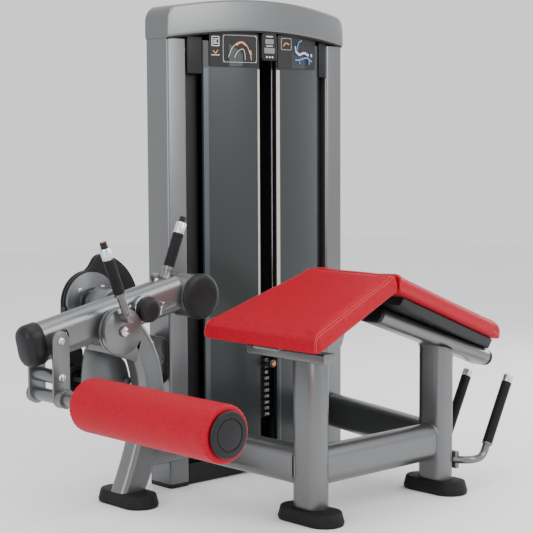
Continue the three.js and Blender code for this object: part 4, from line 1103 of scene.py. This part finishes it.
class LEGCURL_OT_tower_front(bpy.types.Operator):
    """Builds the smoked panels, their edge strips, painted highlight strips, the placards and the repetition counter
    """
    bl_idname = "legcurl.tower_front"
    bl_label = "Tower front"

    def execute(self, context):
        look = looks()
        for name, x0, x1 in (("front_shroud_left", 100, 326), ("front_shroud_right", 404, 632)):
            bm = bmesh.new()
            bowed(bm, x0, x1, 74, 1464, 0, 4)
            piece(f"{name}_panel", bm, "frame", look["smoke"], replaces=[name])
        bm = bmesh.new()
        for x0, x1 in ((100.4, 103), (629, 631.6)):
            bowed(bm, x0, x1, 76, 1462, 1.2, 1.1, n=2)
        bowed(bm, 316, 326, 76, 1376, -4.4, 12, n=3)
        bowed(bm, 404, 414, 76, 1376, -4.4, 12, n=3)
        piece("panel_rims", bm, "frame", look["plastic"])
        bm = bmesh.new()
        bowed(bm, 318, 326, 470, 1374, 1.0, 0.9, n=2)
        bowed(bm, 404, 420, 470, 1374, 1.0, 0.9, n=3)
        piece("panel_edge_strips", bm, "frame", look["cream"])
        # Thin bluish strips in the painted highlight finish: down the left panel's outer edge and low on the right
        # panel's inner edge.
        bm = bmesh.new()
        bowed(bm, 104, 122, 78, 1376, 0.7, 0.5, n=2)
        bowed(bm, 414, 422, 78, 468, 0.7, 0.5, n=2)
        piece("panel_folded_edges", bm, "frame", look["fold"])
        bm = bmesh.new()
        bowed(bm, 124, 321, 1380, 1492, 3.2, 3.0, 8, 30)
        bowed(bm, 409, 612, 1380, 1492, 3.2, 3.0, 8, 30)
        piece("placards", bm, "frame", look["plastic"])
        out = 3.7
        line, orange, pale, blue = bmesh.new(), bmesh.new(), bmesh.new(), bmesh.new()
        stroke(line, round_rect(176, 1396, 312, 1484, 10, 3), 0.8, out, loop=True)
        for a, b in (((134, 1448), (134, 1478)), ((160, 1448), (160, 1478)), ((134, 1478), (160, 1478)),
                     ((134, 1448), (160, 1448))):
            stroke(line, [a, b], 2.4, out)
        for k in range(3):
            stroke(line, [(139, 1456 + 7 * k), (155 - 4 * (k % 2), 1456 + 7 * k)], 3, out)
        stroke(line, [(132, 1418), (162, 1418)], 2, out)
        stroke(orange, [(138, 1432), (147, 1424), (156, 1434)], 3, out)
        stroke(line, [(196, 1412), (214, 1446), (246, 1464), (270, 1452), (284, 1424), (290, 1404)], 1.3, out)
        stroke(line, [(220, 1410), (232, 1430), (254, 1440), (262, 1424), (264, 1404)], 1.3, out)
        stroke(orange, [(226, 1452), (248, 1462), (268, 1452)], 6, out + 0.2)
        stroke(orange, [(284, 1436), (288, 1420)], 7, out + 0.2)
        stroke(line, round_rect(426, 1444, 476, 1482, 6, 3), 0.8, out, loop=True)
        stroke(orange, [(436, 1456), (448, 1466), (466, 1462)], 4, out)
        stroke(blue, [(496, 1410), (520, 1412), (560, 1420), (590, 1408)], 5, out)
        stroke(blue, [(520, 1412), (522, 1398)], 4, out)
        stroke(blue, [(574, 1414), (576, 1398)], 4, out)
        stroke(blue, [(508, 1446), (516, 1470), (534, 1478)], 4, out)
        stroke(pale, [(500, 1440), (520, 1430), (546, 1436), (572, 1428)], 8, out + 0.2)
        stroke(pale, [(500, 1440), (498, 1458)], 6, out + 0.2)
        stroke(pale, [(584, 1428), (592, 1430)], 10, out + 0.2)
        for name, bm, key in (("placard_lines", line, "white"), ("placard_muscles", orange, "print_orange"),
                              ("placard_machine", blue, "print_blue"),
                              ("placard_figure", pale, "print_pale")):
            piece(name, bm, "frame", look[key])
        y = shroud_y(365) - 9
        bm = bmesh.new()
        push(bm, round_rect(331, 1404, 399, 1496, 12), 19, (0, y + 19, 0), X, Z, 3, 4)
        piece("rep_counter_case", bm, "frame", look["plastic"], replaces=["rep_counter"])
        bm = bmesh.new()
        push(bm, round_rect(346, 1459, 384, 1476, 3), 0.8, (0, y + 0.3, 0), X, Z, 0.2, 2)
        push(bm, round_rect(342, 1428, 388, 1447, 3), 0.8, (0, y + 0.3, 0), X, Z, 0.2, 2)
        piece("rep_counter_displays", bm, "frame", look["display"])
        bm = bmesh.new()
        for x in (352, 365, 378):
            disk_y(bm, x, 1416, 3.2, y - 0.6, y + 1, 20, 0.4)
        push(bm, round_rect(350, 1483, 380, 1486, 1.4), 0.6, (0, y + 0.3, 0), X, Z)
        push(bm, round_rect(350, 1452, 380, 1454, 0.9), 0.6, (0, y + 0.3, 0), X, Z)
        piece("rep_counter_keys", bm, "frame", look["white"])
        return {"FINISHED"}


def plate_mesh():
    """One weight plate with rounded rims and a step for its number."""
    bm = bmesh.new()
    push_z(bm, round_rect(-165, -44, 165, 44, 7, 5), 0, 19.5, 1.6)
    push(bm, round_rect(-32, 4, 32, 16, 3), 1.2, (0, -43.6, 0), X, Z, 0.4, 2)
    bmesh.ops.recalc_face_normals(bm, faces=bm.faces)
    mesh = bpy.data.meshes.new("one_plate")
    bm.to_mesh(mesh)
    bm.free()
    return bpy.data.objects.new("one_plate", mesh)


class LEGCURL_OT_weight_stack(bpy.types.Operator):
    """Builds the plates, their numbers, the guide rods and the selector pin"""
    bl_idname = "legcurl.weight_stack"
    bl_label = "Weight stack"

    def execute(self, context):
        look, sizes = looks(), context.scene.leg_curl_sizes
        pitch, count = sizes.plate_pitch, sizes.plate_count
        one = plate_mesh()
        levels = [180 + k * pitch for k in range(count + 4)]
        spots = [((TOWER_MID, TOWER_Y, z), Z, 1.0, X) for z in levels]
        low = repeat("resting_plates", one, spots[:count], "frame", look["coat"])
        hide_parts("weight_stack")
        high = repeat("raised_plates", one, spots[count:], "weight_lift", look["coat"])
        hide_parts("lifted_plates")
        bm = bmesh.new()
        top = levels[-1] + 19.5
        rod(bm, (TOWER_MID, TOWER_Y, levels[count] + 3), (TOWER_MID, TOWER_Y, top + 33.5), 11, 28)
        rod(bm, (TOWER_MID, TOWER_Y, top), (TOWER_MID, TOWER_Y, top + 12), 19, 32, 2)
        piece("lift_stem", bm, "weight_lift", look["steel"])
        numbers = {"frame": [], "weight_lift": []}
        for k, z in enumerate(levels):
            words = bpy.data.curves.new(f"number_{k}", "FONT")
            words.body = str(10 + 15 * (len(levels) - 1 - k))
            words.size, words.extrude, words.align_x, words.align_y = 0.0150, 0.0003, "CENTER", "CENTER"
            words.resolution_u = 2
            holder = bpy.data.objects.new(f"number_{k}", words)
            bpy.context.scene.collection.objects.link(holder)
            graph = bpy.context.evaluated_depsgraph_get()
            mesh = bpy.data.meshes.new_from_object(holder.evaluated_get(graph))
            bpy.data.objects.remove(holder)
            place = Matrix.Translation(BENCH + Vector((TOWER_MID + 38, TOWER_Y - 45.2, z + 10)) * 0.001)
            mesh.transform(place @ Matrix.Rotation(math.radians(90), 4, "X"))
            numbers["frame" if k < count else "weight_lift"].append(mesh)
        for body, meshes in numbers.items():
            bm = bmesh.new()
            for mesh in meshes:
                bm.from_mesh(mesh)
            made = bpy.data.meshes.new("numbers")
            bm.to_mesh(made)
            bm.free()
            settle(f"plate_numbers_{body}", made, body, look["white"])
        bm = bmesh.new()
        for x in (TOWER_MID - 110, TOWER_MID + 110):
            rod(bm, (x, TOWER_Y, 66), (x, TOWER_Y, 1430), 10, 36)
            rod(bm, (x, TOWER_Y, 1436), (x, TOWER_Y, 1446), 16, 32, 2)
        push_z(bm, round_rect(30.6, 610, 669.4, 702, 4), 1428, 1436, 1)
        push_y(bm, round_rect(284, 1432, 316, 1516, 14), 686, 692, 1)
        disk_y(bm, 300, 1500, 7, 636, 692, 24)
        piece("guide_rods_polished", bm, "frame", look["chrome"], replaces=["guide_rods"])
        pin_z = levels[count] + 9.75
        bm = bmesh.new()
        rod(bm, (TOWER_MID, 653, pin_z), (TOWER_MID, 560, pin_z), 4, 24, 2)
        piece("selector_pin_shank", bm, "selector_pin", look["chrome"], replaces=["selector_pin"])
        bm = bmesh.new()
        knob = soften([(0, 0), (13, 0), (15, 6), (11, 14), (15, 24), (12, 30), (0, 31)], 3, False)
        lathe(bm, knob, (TOWER_MID, 564, pin_z), (TOWER_MID, 530, pin_z), 40)
        piece("selector_pin_knob", bm, "selector_pin", look["gloss"])
        bm = bmesh.new()
        disk_y(bm, TOWER_MID, pin_z, 7.5, 532.2, 534, 28, 0.6)
        piece("selector_pin_dot", bm, "selector_pin", look["orange"])
        return {"FINISHED"}


def pulley_piece(name, joint, r, look):
    place = joint_place(joint)
    lo, hi = node_box(name)
    y0, y1 = lo.y, hi.y
    bm = bmesh.new()
    rim = [(7.4, y0 + 4), (16, y0 + 4), (18, y0 + 9), (r - 12, y0 + 9), (r - 9, y0), (r + 6, y0),
           (r + 7, y0 + 1.2),
           (r - 3, y0 + 3.2), (r - 3, y1 - 3.2), (r + 7, y1 - 1.2), (r + 6, y1), (r - 9, y1),
           (r - 12, y1 - 9), (18, y1 - 9),
           (16, y1 - 4), (7.4, y1 - 4), (7.4, y0 + 4)]
    lathe_y(bm, rim, place.x, place.z, 64)
    piece(f"{name}_wheel", bm, name, look["plastic"], replaces=[name])
    bm = bmesh.new()
    disk_y(bm, place.x, place.z, 6.6, y0 - 1, y0 + 3.4, 24, 0.8)
    piece(f"{name}_pin", bm, "frame", look["steel"])


class LEGCURL_OT_belt_drive(bpy.types.Operator):
    """Builds the pulleys, belts, their plate and covers"""
    bl_idname = "legcurl.belt_drive"
    bl_label = "Belt drive"

    def execute(self, context):
        look = looks()
        for name, joint, r in (("idler_pulley", "idler_spin", 38),
                               ("column_pulley", "column_pulley_spin", 50),
                               ("top_pulley_left", "top_pulley_left_spin", 50),
                               ("top_pulley_middle", "top_pulley_middle_spin", 50)):
            pulley_piece(name, joint, r, look)
        for name in ("drive_belt", "stack_belt"):
            repaint(name, look["belt"])
        idler, column = joint_place("idler_spin"), joint_place("column_pulley_spin")
        bm = bmesh.new()
        outline = smooth_line([(-402, 372), (-392, 470), (-372, 506), (-300, 512), (-262, 470), (-226, 430),
                               (-214, 330),
                               (-300, 322), (-380, 346)], 6, True)
        push_y(bm, outline, 603, 609, 1)
        disk_y(bm, idler.x, idler.z, 7, 608, 675, 24)
        disk_y(bm, -232, 380, 12, 588, 604, 24)
        piece("idler_carrier", bm, "frame", look["silver"], replaces=["idler_plate"])
        bm = bmesh.new()
        hood = round_rect(idler.x - 54, 330, idler.x + 54, 500, 26, 8)
        push(bm, hood, 5, (0, 683, 0), X, Z, 2.5, 4)
        side = [p for p in hood if p.x < idler.x + 1]
        side = sorted(side, key=lambda p: p.y)
        push(bm, band(side, 2), 44, (0, 680, 0), X, Z)
        piece("idler_guard", bm, "frame", look["gloss"], replaces=["idler_cover"])
        bm = bmesh.new()
        outer = smooth_line([(-172, 470), (-160, 496), (-130, 512), (-96, 508), (-52, 486), (-52, 372),
                             (-84, 352),
                             (-118, 346), (-150, 374), (-166, 420)], 6, True)
        outer = [Vector((min(p.x, -51), p.y)) for p in outer]
        push(bm, outer, 10, (0, 616, 0), X, Z, 4, 5)
        wall = [p for p in outer if p.x < -56]
        for part_of in ([p for p in wall if p.y > 470], [p for p in wall if p.y < 362]):
            part_of = sorted(part_of, key=lambda p: p.x)
            push(bm, band(part_of, 2.2), 82, (0, 694, 0), X, Z)
        lathe_y(bm, [(22, 610), (22, 605.6), (17, 605.4), (15, 608), (0, 608)], column.x - 14, column.z + 6,
                40)
        piece("column_pulley_guard", bm, "frame", look["gloss"],
              replaces=["column_pulley_cover"])
        repaint("column_pulley_hanger", look["silver"])
        return {"FINISHED"}


# ---------- lever arm ----------
class LEGCURL_OT_lever_arm(bpy.types.Operator):
    """Builds the lever arm, its counterweight, shaft, cam and caps"""
    bl_idname = "legcurl.lever_arm"
    bl_label = "Lever arm"

    def execute(self, context):
        look = looks()
        bm = bmesh.new()
        push(bm, oval(76, 118, 12), 517, (-352, ARM_Y, 0), Y, Z)
        drum = [(0, 378), (71, 378), (71, 387), (67.5, 391), (67.5, 466), (64, 470), (0, 470)]
        lathe_y(bm, soften(drum, 2, False, 3), 222, -26, 72)
        lathe_y(bm, [(20.4, 370), (37.5, 370), (39, 371.5), (39, 478.5), (37.5, 480), (20.4, 480),
                     (20.4, 370)], 0, 0, 56)
        lathe_y(bm, [(0, 372.4), (70, 372.4), (71, 373.4), (71, 380), (69, 382), (60, 394), (0, 394)], -107,
                -35, 64)
        foot = Vector((138, ARM_Y, 50))
        run = Vector((math.sin(0.59), 0, math.cos(0.59)))
        lathe(bm, [(0, 0), (19, 0), (17, 6), (15, 12), (15, 26), (18, 27), (18, 39), (17, 40), (0, 40)], foot,
              foot + run, 40)
        piece("lever_arm_body", bm, "lever_arm", look["silver"], ARM, ["lever_arm"], 30)
        bm = bmesh.new()
        rings = []
        for d, grow in ((0.3, -6), (2, -8), (36, -8), (42, -5), (48, 1), (53, 9), (56, 18), (58, 32)):
            rings.append([Vector((-352 - d, ARM_Y - p.x, p.y)) for p in oval(76 - grow, 118 - grow, 12)])
        loft(bm, rings)
        piece("arm_end_boot", bm, "lever_arm", look["plastic"], ARM, ["arm_end_cap"], 50)
        bm = bmesh.new()
        lathe_y(bm, [(0, 365.5), (30, 365), (54, 365.6), (64, 367.5), (69.5, 371), (71.6, 375), (71.6, 377.6),
                     (0, 377.6)],
                222, -26, 72)
        piece("counterweight_lid", bm, "lever_arm", look["plastic"], ARM,
              ["counterweight_cap"], 50)
        bm = bmesh.new()
        push(bm, round_rect(92, 55, 116, 79, 6), 20, (104 - 12 - 92, 440, 0), X, Z, 2, 3)
        piece("counterweight_lug", bm, "lever_arm", look["silver"], ARM)
        bm = bmesh.new()
        lathe_y(bm, soften([(0, 370), (20, 370), (20, 604), (33, 604), (33, 640), (93.5, 640), (94, 641),
                            (94, 650.7),
                            (93.5, 651.7), (20, 651.7), (20, 684), (0, 684)], 1.2, False, 2), 0, 0, 72)
        lathe_y(bm, [(40, 634), (46, 634), (46, 641), (40, 641), (40, 634)], 0, 0, 48)
        piece("pivot_shaft_turned", bm, "lever_arm", look["silver"], ARM, ["pivot_shaft"])
        bm = bmesh.new()
        knob = [(0, 336.2), (16, 336.4), (27, 337.6), (33.5, 340.5), (37.2, 345), (38.8, 351), (39, 362),
                (38, 366), (36.5, 369.6), (0, 369.6)]
        lathe_y(bm, knob, 0, 0, 64)
        piece("shaft_end_knob", bm, "lever_arm", look["plastic"], ARM, ["shaft_knob"], 60)
        bm = bmesh.new()
        lathe_y(bm, [(38.6, 364.5), (41.5, 364.5), (42.2, 365.5), (42.2, 371), (41.5, 372), (38.6, 372),
                     (38.6, 364.5)], 0, 0, 64)
        piece("shaft_knob_ring", bm, "lever_arm", look["chrome"], ARM)
        shape_points = [(98 * math.cos(a), 98 * math.sin(a)) for a in (1.5 + 4.4 * k / 60 for k in range(61))]
        for p0, p1, p2 in ((shape_points[-1], (190, -60), (190, -18)), ((190, -18), (180, 70), (112, 118)),
                           ((112, 118), (70, 148), (42, 118)), ((42, 118), (20, 96), shape_points[0])):
            p0, p1, p2 = Vector(p0), Vector(p1), Vector(p2)
            for k in range(1, 11):
                t = k / 10
                shape_points.append(tuple(p0 * (1 - t) ** 2 + p1 * 2 * t * (1 - t) + p2 * t * t))
        outline = [Vector(p) for p in shape_points[:-1]]
        bm = bmesh.new()
        push(bm, outline, 8, (0, 660, 0), X, Z, 1.6, 3)
        push(bm, inset(outline, 4), 6, (0, 666, 0), X, Z)
        push(bm, outline, 7, (0, 672, 0), X, Z, 1.6, 3)
        piece("belt_cam", bm, "lever_arm", look["plastic"], ARM, ["cam"])
        bm = bmesh.new()
        eye = Vector((58, 388, -54))
        tube(bm, [eye + Vector((17 * math.cos(a), -2,
                                15 * math.sin(a))) for a in (math.tau * k / 36 for k in range(36))],
             3.2, 14, loop=True)
        rod(bm, eye + Vector((8, 4, 14)), eye + Vector((24, 6, 42)), 4, 20)
        rod(bm, eye + Vector((24, -6, 44)), eye + Vector((24, 8, 44)), 7, 24)
        piece("arm_eyelet", bm, "lever_arm", look["chrome"], ARM)
        bm = bmesh.new()
        leaf = smooth_line([(-318, -22), (-306, 8), (-290, 24), (-276, 20), (-272, -2), (-284, -22),
                            (-302, -32)], 6, True)
        push(bm, leaf, 3, (0, 391.6, 0), X, Z, 0.8, 3)
        piece("arm_indicator", bm, "lever_arm", look["gloss"], ARM)
        bm = bmesh.new()
        for k in range(3):
            push(bm, band([Vector((-300 + 7 * k, -10 + 8 * k)), Vector((-292 + 7 * k, -4 + 8 * k))], 1.2),
                 0.5,
                 (0, 388.9, 0), X, Z)
        piece("arm_indicator_marks", bm, "lever_arm", look["white"], ARM)
        return {"FINISHED"}


def handle_pieces(key, foot, run, offset, body, button_body, look, names, button_look):
    """A grip with rings, a polished collar and a push button, from foot along run in the arm's frame."""
    start, end, collar_end, top = (foot + run * (offset + d) for d in (40.3, 148, 184, 203))
    bm = bmesh.new()
    length = (end - start).length
    profile = [(0, 0), (15.5, 0), (17, 1.5)]
    k = 6.0
    while k < length - 8:
        profile += [(17.2, k), (16.4, k + 0.8), (16.4, k + 2.2), (17.2, k + 3.0)]
        k += 6.0
    lathe(bm, profile + [(17.2, length - 2), (15.5, length), (0, length)], start, end, 40)
    piece(f"{key}_grip_sleeve", bm, body, look["grip"], ARM, [names[0]])
    bm = bmesh.new()
    length = (collar_end - end).length
    shell = [(0, 0.4), (16.6, 0.4), (17, 1), (17, 8), (15.6, 9), (15.6, 11), (17, 12), (17, length - 3),
             (15, length),
             (11, length), (11, 14), (0, 14)]
    lathe(bm, shell, end, collar_end, 48)
    piece(f"{key}_grip_end", bm, body, look["aluminium"], ARM, [names[1]])
    bm = bmesh.new()
    button_foot = end + run * 22.3
    length = (top - button_foot).length
    lathe(bm, soften([(0, 0), (10.4, 0), (10.4, length), (0, length)], 2.5, False, 4), button_foot, top, 36)
    return piece(f"{key}_button_cap", bm, button_body, look[button_look], ARM, [names[2]])


class LEGCURL_OT_handles(bpy.types.Operator):
    """Builds the arm's handle and its button"""
    bl_idname = "legcurl.handles"
    bl_label = "Arm handle"

    def execute(self, context):
        look = looks()
        run = Vector((math.sin(0.59), 0, math.cos(0.59)))
        handle_pieces("arm", Vector((138, ARM_Y, 50)), run, 0, "lever_arm", "arm_button", look,
                      ("arm_grip", "arm_grip_collar", "arm_button"), "plastic")
        return {"FINISHED"}


class LEGCURL_OT_selector(bpy.types.Operator):
    """Builds the start position selector with its handle and button"""
    bl_idname = "legcurl.selector"
    bl_label = "Start selector"

    def execute(self, context):
        look = looks()
        lean = -0.365 + ARM_RISE
        run = Vector((math.sin(lean), 0, math.cos(lean)))
        hub = Vector((-105, 0, 8))
        foot = Vector((hub.x, 322, hub.z))
        bm = bmesh.new()
        lathe_y(bm, [(0, 350), (67, 350), (69.5, 351.5), (70, 354), (70, 368), (69, 371), (66, 372),
                     (0, 372)], -107, -35, 72)
        lathe_y(bm, [(0, 342), (15.5, 342), (17, 343.5), (17, 350.5), (0, 351)], -107, -35, 32)
        lathe_y(bm, soften([(0, 304), (14, 304), (14, 351), (0, 351)], 2, False, 3), hub.x, hub.z, 36)
        lathe(bm, [(0, 0), (12, 0), (12, 73), (18, 74), (18, 81), (16.5, 82), (0, 82)], foot, foot + run, 36)
        piece("start_selector_disc", bm, "start_selector", look["silver"], ARM,
              ["start_selector"])
        handle_pieces("selector", foot, run, 42, "start_selector", "selector_button", look,
                      ("selector_grip", "selector_collar", "selector_button"), "plastic")
        bm = bmesh.new()
        tip = foot + run * (42 + 203)
        lathe(bm, soften([(0, 0), (8.2, 0), (8.2, 5.4), (0, 5.6)], 1.6, False, 3), tip - run * 5, tip, 32)
        piece("selector_button_face", bm, "selector_button", look["orange"], ARM)
        return {"FINISHED"}


class LEGCURL_OT_carriage(bpy.types.Operator):
    """Builds the roller's hanging plates, cross tube and axle"""
    bl_idname = "legcurl.carriage"
    bl_label = "Roller carriage"

    def execute(self, context):
        look = looks()
        x, z, top = AXLE.x, AXLE.z, HINGE_BOLT.z
        for name, y0 in (("carriage_front_plate", 364), ("carriage_rear_plate", 487)):
            bm = bmesh.new()
            push(bm, round_rect(x - 29, z - 29, x + 29, top + 29, 28.9, 14), 8, (0, y0 + 8, 0), X, Z, 1.6, 3)
            if y0 == 364:
                rod(bm, (x, 371.5, top), (x, 391.6, top), 20, 36)
            else:
                rod(bm, (x, 468.4, top), (x, 488, top), 20, 36)
                rod(bm, (x, 372.4, 466), (x, 488.5, 466), 21, 40)
                tube(bm, [(x + 21.5 * math.cos(a), 375,
                           466 + 21.5 * math.sin(a)) for a in (math.tau * k / 40 for k in range(40))],
                     2.6, 8, loop=True)
                tube(bm, [(x + 21.5 * math.cos(a), 486,
                           466 + 21.5 * math.sin(a)) for a in (math.tau * k / 40 for k in range(40))],
                     2.6, 8, loop=True)
            piece(f"{name}_body", bm, "roller_carriage", look["silver"], None, [name])
        bm = bmesh.new()
        profile = [(0, -342), (20, -342), (20, 338), (27, 338), (28, 339.5), (28, 362.5), (27, 363.7),
                   (20, 363.7),
                   (20, 495.3), (27, 495.3), (28, 497), (28, 507.5), (26.5, 509.3), (0, 509.3)]
        lathe_y(bm, profile, x, z, 48)
        piece("roller_axle_turned", bm, "roller_carriage", look["silver"], None,
              ["roller_axle"])
        return {"FINISHED"}


class LEGCURL_OT_roller(bpy.types.Operator):
    """Builds the padded roller with its gathered ends and caps"""
    bl_idname = "legcurl.roller"
    bl_label = "Roller"

    def execute(self, context):
        look, sizes = looks(), context.scene.leg_curl_sizes
        x, z = AXLE.x, AXLE.z
        y0, y1 = -350, 232
        bm = bmesh.new()
        profile = soften([(48, y0 + 1), (77, y0 - 2), (77, y1 - 1), (48, y1 - 3)], 17, True, 6)
        lathe_y(bm, [tuple(p) for p in profile] + [tuple(profile[0])], x, z, 72)

        def held(p):
            return math.hypot(p[0] - x, p[2] - z) < 58

        mesh = stuff("roller_pad", bm, held, sizes, 0.0055)
        co = np.empty(len(mesh.vertices) * 3)
        mesh.vertices.foreach_get("co", co)
        p = (co.reshape(-1, 3) - np.array(BENCH)) * 1000
        turn = np.arctan2(p[:, 2] - z, p[:, 0] - x)
        r = np.hypot(p[:, 0] - x, p[:, 2] - z)
        end = np.minimum(p[:, 1] - (y0 - 6), (y1 + 3) - p[:, 1])
        fold = np.exp(-np.clip(end - 2, 0, None) / 9.0) * np.clip((r - 46) / 20, 0, 1)
        push_in = fold * 1.5 * (np.cos(turn * 34) - 0.4 * np.cos(turn * 13 + 1))
        scale = (r - push_in) / np.maximum(r, 1e-6)
        p[:, 0] = x + (p[:, 0] - x) * scale
        p[:, 2] = z + (p[:, 2] - z) * scale
        mesh.vertices.foreach_set("co", (p / 1000 + np.array(BENCH)).ravel())
        settle("roller_cover", mesh, "roller", look["vinyl"], ["roller_pad"], 60)
        bm = bmesh.new()
        cap = [(0, y0 - 12), (36, y0 - 12), (39, y0 - 11.2), (40.4, y0 - 9), (42.4, y0 - 9), (43.4, y0 - 11),
               (56, y0 - 11),
               (60, y0 - 9.6), (61.5, y0 - 7), (61, y0 - 4.6), (52, y0 - 4), (29.7, y0 - 4), (29.7, y1 + 2),
               (20.5, y1 + 2), (20.5, -344), (0, -344)]
        lathe_y(bm, cap, x, z, 80)
        lathe_y(bm, [(20.6, y1 + 2), (46, y1 + 2), (48, y1 + 3.5), (48, y1 + 6), (44, y1 + 8), (20.6, y1 + 8),
                     (20.6, y1 + 2)], x, z, 56)
        piece("roller_end_caps", bm, "roller", look["plastic"], None, ["roller_core"], 40)
        return {"FINISHED"}


class LEGCURL_OT_bolts(bpy.types.Operator):
    """Sets the bolt heads, screws and washers"""
    bl_idname = "legcurl.bolts"
    bl_label = "Bolts"

    def execute(self, context):
        look = looks()
        def on_arm(s, n, y, r):
            place = arm_line(s, n, y)
            return (tuple(place), -Y, r, ARM.to_3x3() @ X)

        carriage = [((AXLE.x, 364, HINGE_BOLT.z), -Y, 12, X), ((AXLE.x, 364, 466), -Y, 12, X),
                    ((AXLE.x, 495, HINGE_BOLT.z), Y, 12, X)]
        repeat("carriage_bolts", shape("button"), carriage, "roller_carriage", look["steel"])
        arm = [on_arm(60 * math.cos(a), 60 * math.sin(a), 640, 8) for a in (0.6, 2.2, 3.8, 5.4)]
        arm += [on_arm(-38, 16, 392, 7), on_arm(96, 58, 420, 8)]
        repeat("arm_bolts", shape("button"), arm, "lever_arm", look["steel"])
        selector = [on_arm(-107, -35, 342, 11)]
        repeat("selector_bolt", shape("hex"), selector, "start_selector", look["chrome"])
        rest = [((627.2, y, 100), X, 7, Z) for y in (-22, 22)]
        rest += [((-227, 590, 380), Y, 8, X), ((-300, 603, 340), -Y, 8, X),
                 ((TOWER_LOW.x, 640, 180), -X, 8, Z),
                 ((TOWER_LOW.x, 672, 180), -X, 8, Z), ((TOWER_HIGH.x, 640, 180), X, 8, Z),
                 ((TOWER_HIGH.x, 672, 180), X, 8, Z)]
        rest += [((x, TOWER_HIGH.y, z), Y, 6, X) for z in (120, 760, 1440) for x in (50, 650)]
        repeat("frame_bolts", shape("button"), rest, "frame", look["steel"])
        covers = [((-136, 605.7, 372), -Y, 6, X), ((-120, 605.7, 492), -Y, 6, X),
                  ((-372, 682.8, 352), Y, 6, X),
                  ((-400, 682.8, 478), Y, 6, X)]
        repeat("cover_screws", shape("flat"), covers, "frame", look["steel"])
        return {"FINISHED"}


class LEGCURL_OT_stage(bpy.types.Operator):
    """Lays the floor and sets the lights and the camera"""
    bl_idname = "legcurl.stage"
    bl_label = "Stage"

    def execute(self, context):
        scene = context.scene
        mesh = bpy.data.meshes.new("floor")
        mesh.from_pydata([(-9, -9, 0), (9, -9, 0), (9, 9, 0), (-9, 9, 0)], [], [(0, 1, 2, 3)])
        floor = bpy.data.objects.new("floor", mesh)
        scene.collection.objects.link(floor)
        mesh.materials.append(finish("pale_floor", (0.93, 0.93, 0.93), 0.8, 0.0, 0.01, 2.0, 0.03, 200.0,
                                     0.01))
        world = bpy.data.worlds.new("studio")
        scene.world = world
        world.use_nodes = True
        world.node_tree.nodes["Background"].inputs["Color"].default_value = (0.97, 0.98, 1, 1)
        world.node_tree.nodes["Background"].inputs["Strength"].default_value = 1.15
        aim = Vector((0, 0, 0.75))
        for name, place, size, power in (("key", (1.6, -3.6, 2.7), (2.0, 2.6), 95),
                                         ("left", (-3.8, -1.2, 2.0), (1.4, 3.0), 60),
                                         ("top", (-0.2, -0.4, 4.2), (3.2, 3.2), 70),
                                         ("right", (3.8, 0.2, 1.9), (1.0, 3.0), 60)):
            data = bpy.data.lights.new(name, "AREA")
            data.shape = "RECTANGLE"
            data.size, data.size_y, data.energy = size[0], size[1], power
            lamp = bpy.data.objects.new(name, data)
            lamp.location = place
            lamp.rotation_mode = "QUATERNION"
            lamp.rotation_quaternion = (aim - Vector(place)).to_track_quat("-Z", "Y")
            scene.collection.objects.link(lamp)
        data = bpy.data.cameras.new("camera")
        data.lens, data.sensor_width = 100.37, 36.0
        data.clip_start, data.clip_end = 0.1, 60
        cam = bpy.data.objects.new("camera", data)
        yaw, pitch, roll = math.radians(42.88), math.radians(5.19), math.radians(-0.24)
        look_at = Vector((math.sin(yaw) * math.cos(pitch), math.cos(yaw) * math.cos(pitch), -math.sin(pitch)))
        right = Vector((math.cos(yaw), -math.sin(yaw), 0))
        above = right.cross(look_at)
        right, above = right * math.cos(roll) + above * math.sin(roll), above * math.cos(roll) - right * math.sin(roll)
        place = BENCH + Vector((-3.076, -3.121, 1.167))
        cam.matrix_world = Matrix((
            (right.x, above.x, -look_at.x, place.x), (right.y, above.y, -look_at.y, place.y),
            (right.z, above.z, -look_at.z, place.z), (0, 0, 0, 1)))
        scene.collection.objects.link(cam)
        scene.camera = cam
        return {"FINISHED"}


MAKERS = (
    LEGCURL_OT_stage, LEGCURL_OT_frame_tubes, LEGCURL_OT_side_leg, LEGCURL_OT_feet, LEGCURL_OT_pads,
    LEGCURL_OT_pad_carriers, LEGCURL_OT_head_handles, LEGCURL_OT_tower, LEGCURL_OT_tower_front,
    LEGCURL_OT_weight_stack, LEGCURL_OT_belt_drive, LEGCURL_OT_lever_arm, LEGCURL_OT_handles,
    LEGCURL_OT_selector,
    LEGCURL_OT_carriage, LEGCURL_OT_roller, LEGCURL_OT_bolts,
)


class LEGCURL_PT_panel(bpy.types.Panel):
    bl_label = "Leg curl"
    bl_idname = "LEGCURL_PT_panel"
    bl_space_type = "VIEW_3D"
    bl_region_type = "UI"
    bl_category = "Leg curl"

    def draw(self, context):
        sizes, colors = context.scene.leg_curl_sizes, context.scene.leg_curl_colours
        for group in (sizes, colors):
            for key in group.__annotations__:
                self.layout.prop(group, key)
        for maker in MAKERS:
            self.layout.operator(maker.bl_idname)


CLASSES = (LegCurlSizes, LegCurlColours, *MAKERS, LEGCURL_PT_panel)


def register():
    for cls in CLASSES:
        bpy.utils.register_class(cls)
    bpy.types.Scene.leg_curl_sizes = bpy.props.PointerProperty(type=LegCurlSizes)
    bpy.types.Scene.leg_curl_colours = bpy.props.PointerProperty(type=LegCurlColours)


def unregister():
    del bpy.types.Scene.leg_curl_sizes
    del bpy.types.Scene.leg_curl_colours
    for cls in reversed(CLASSES):
        bpy.utils.unregister_class(cls)


def main():
    register()
    for maker in MAKERS:
        group, name = maker.bl_idname.split(".")
        getattr(getattr(bpy.ops, group), name)()


if __name__ == "__main__":
    main()
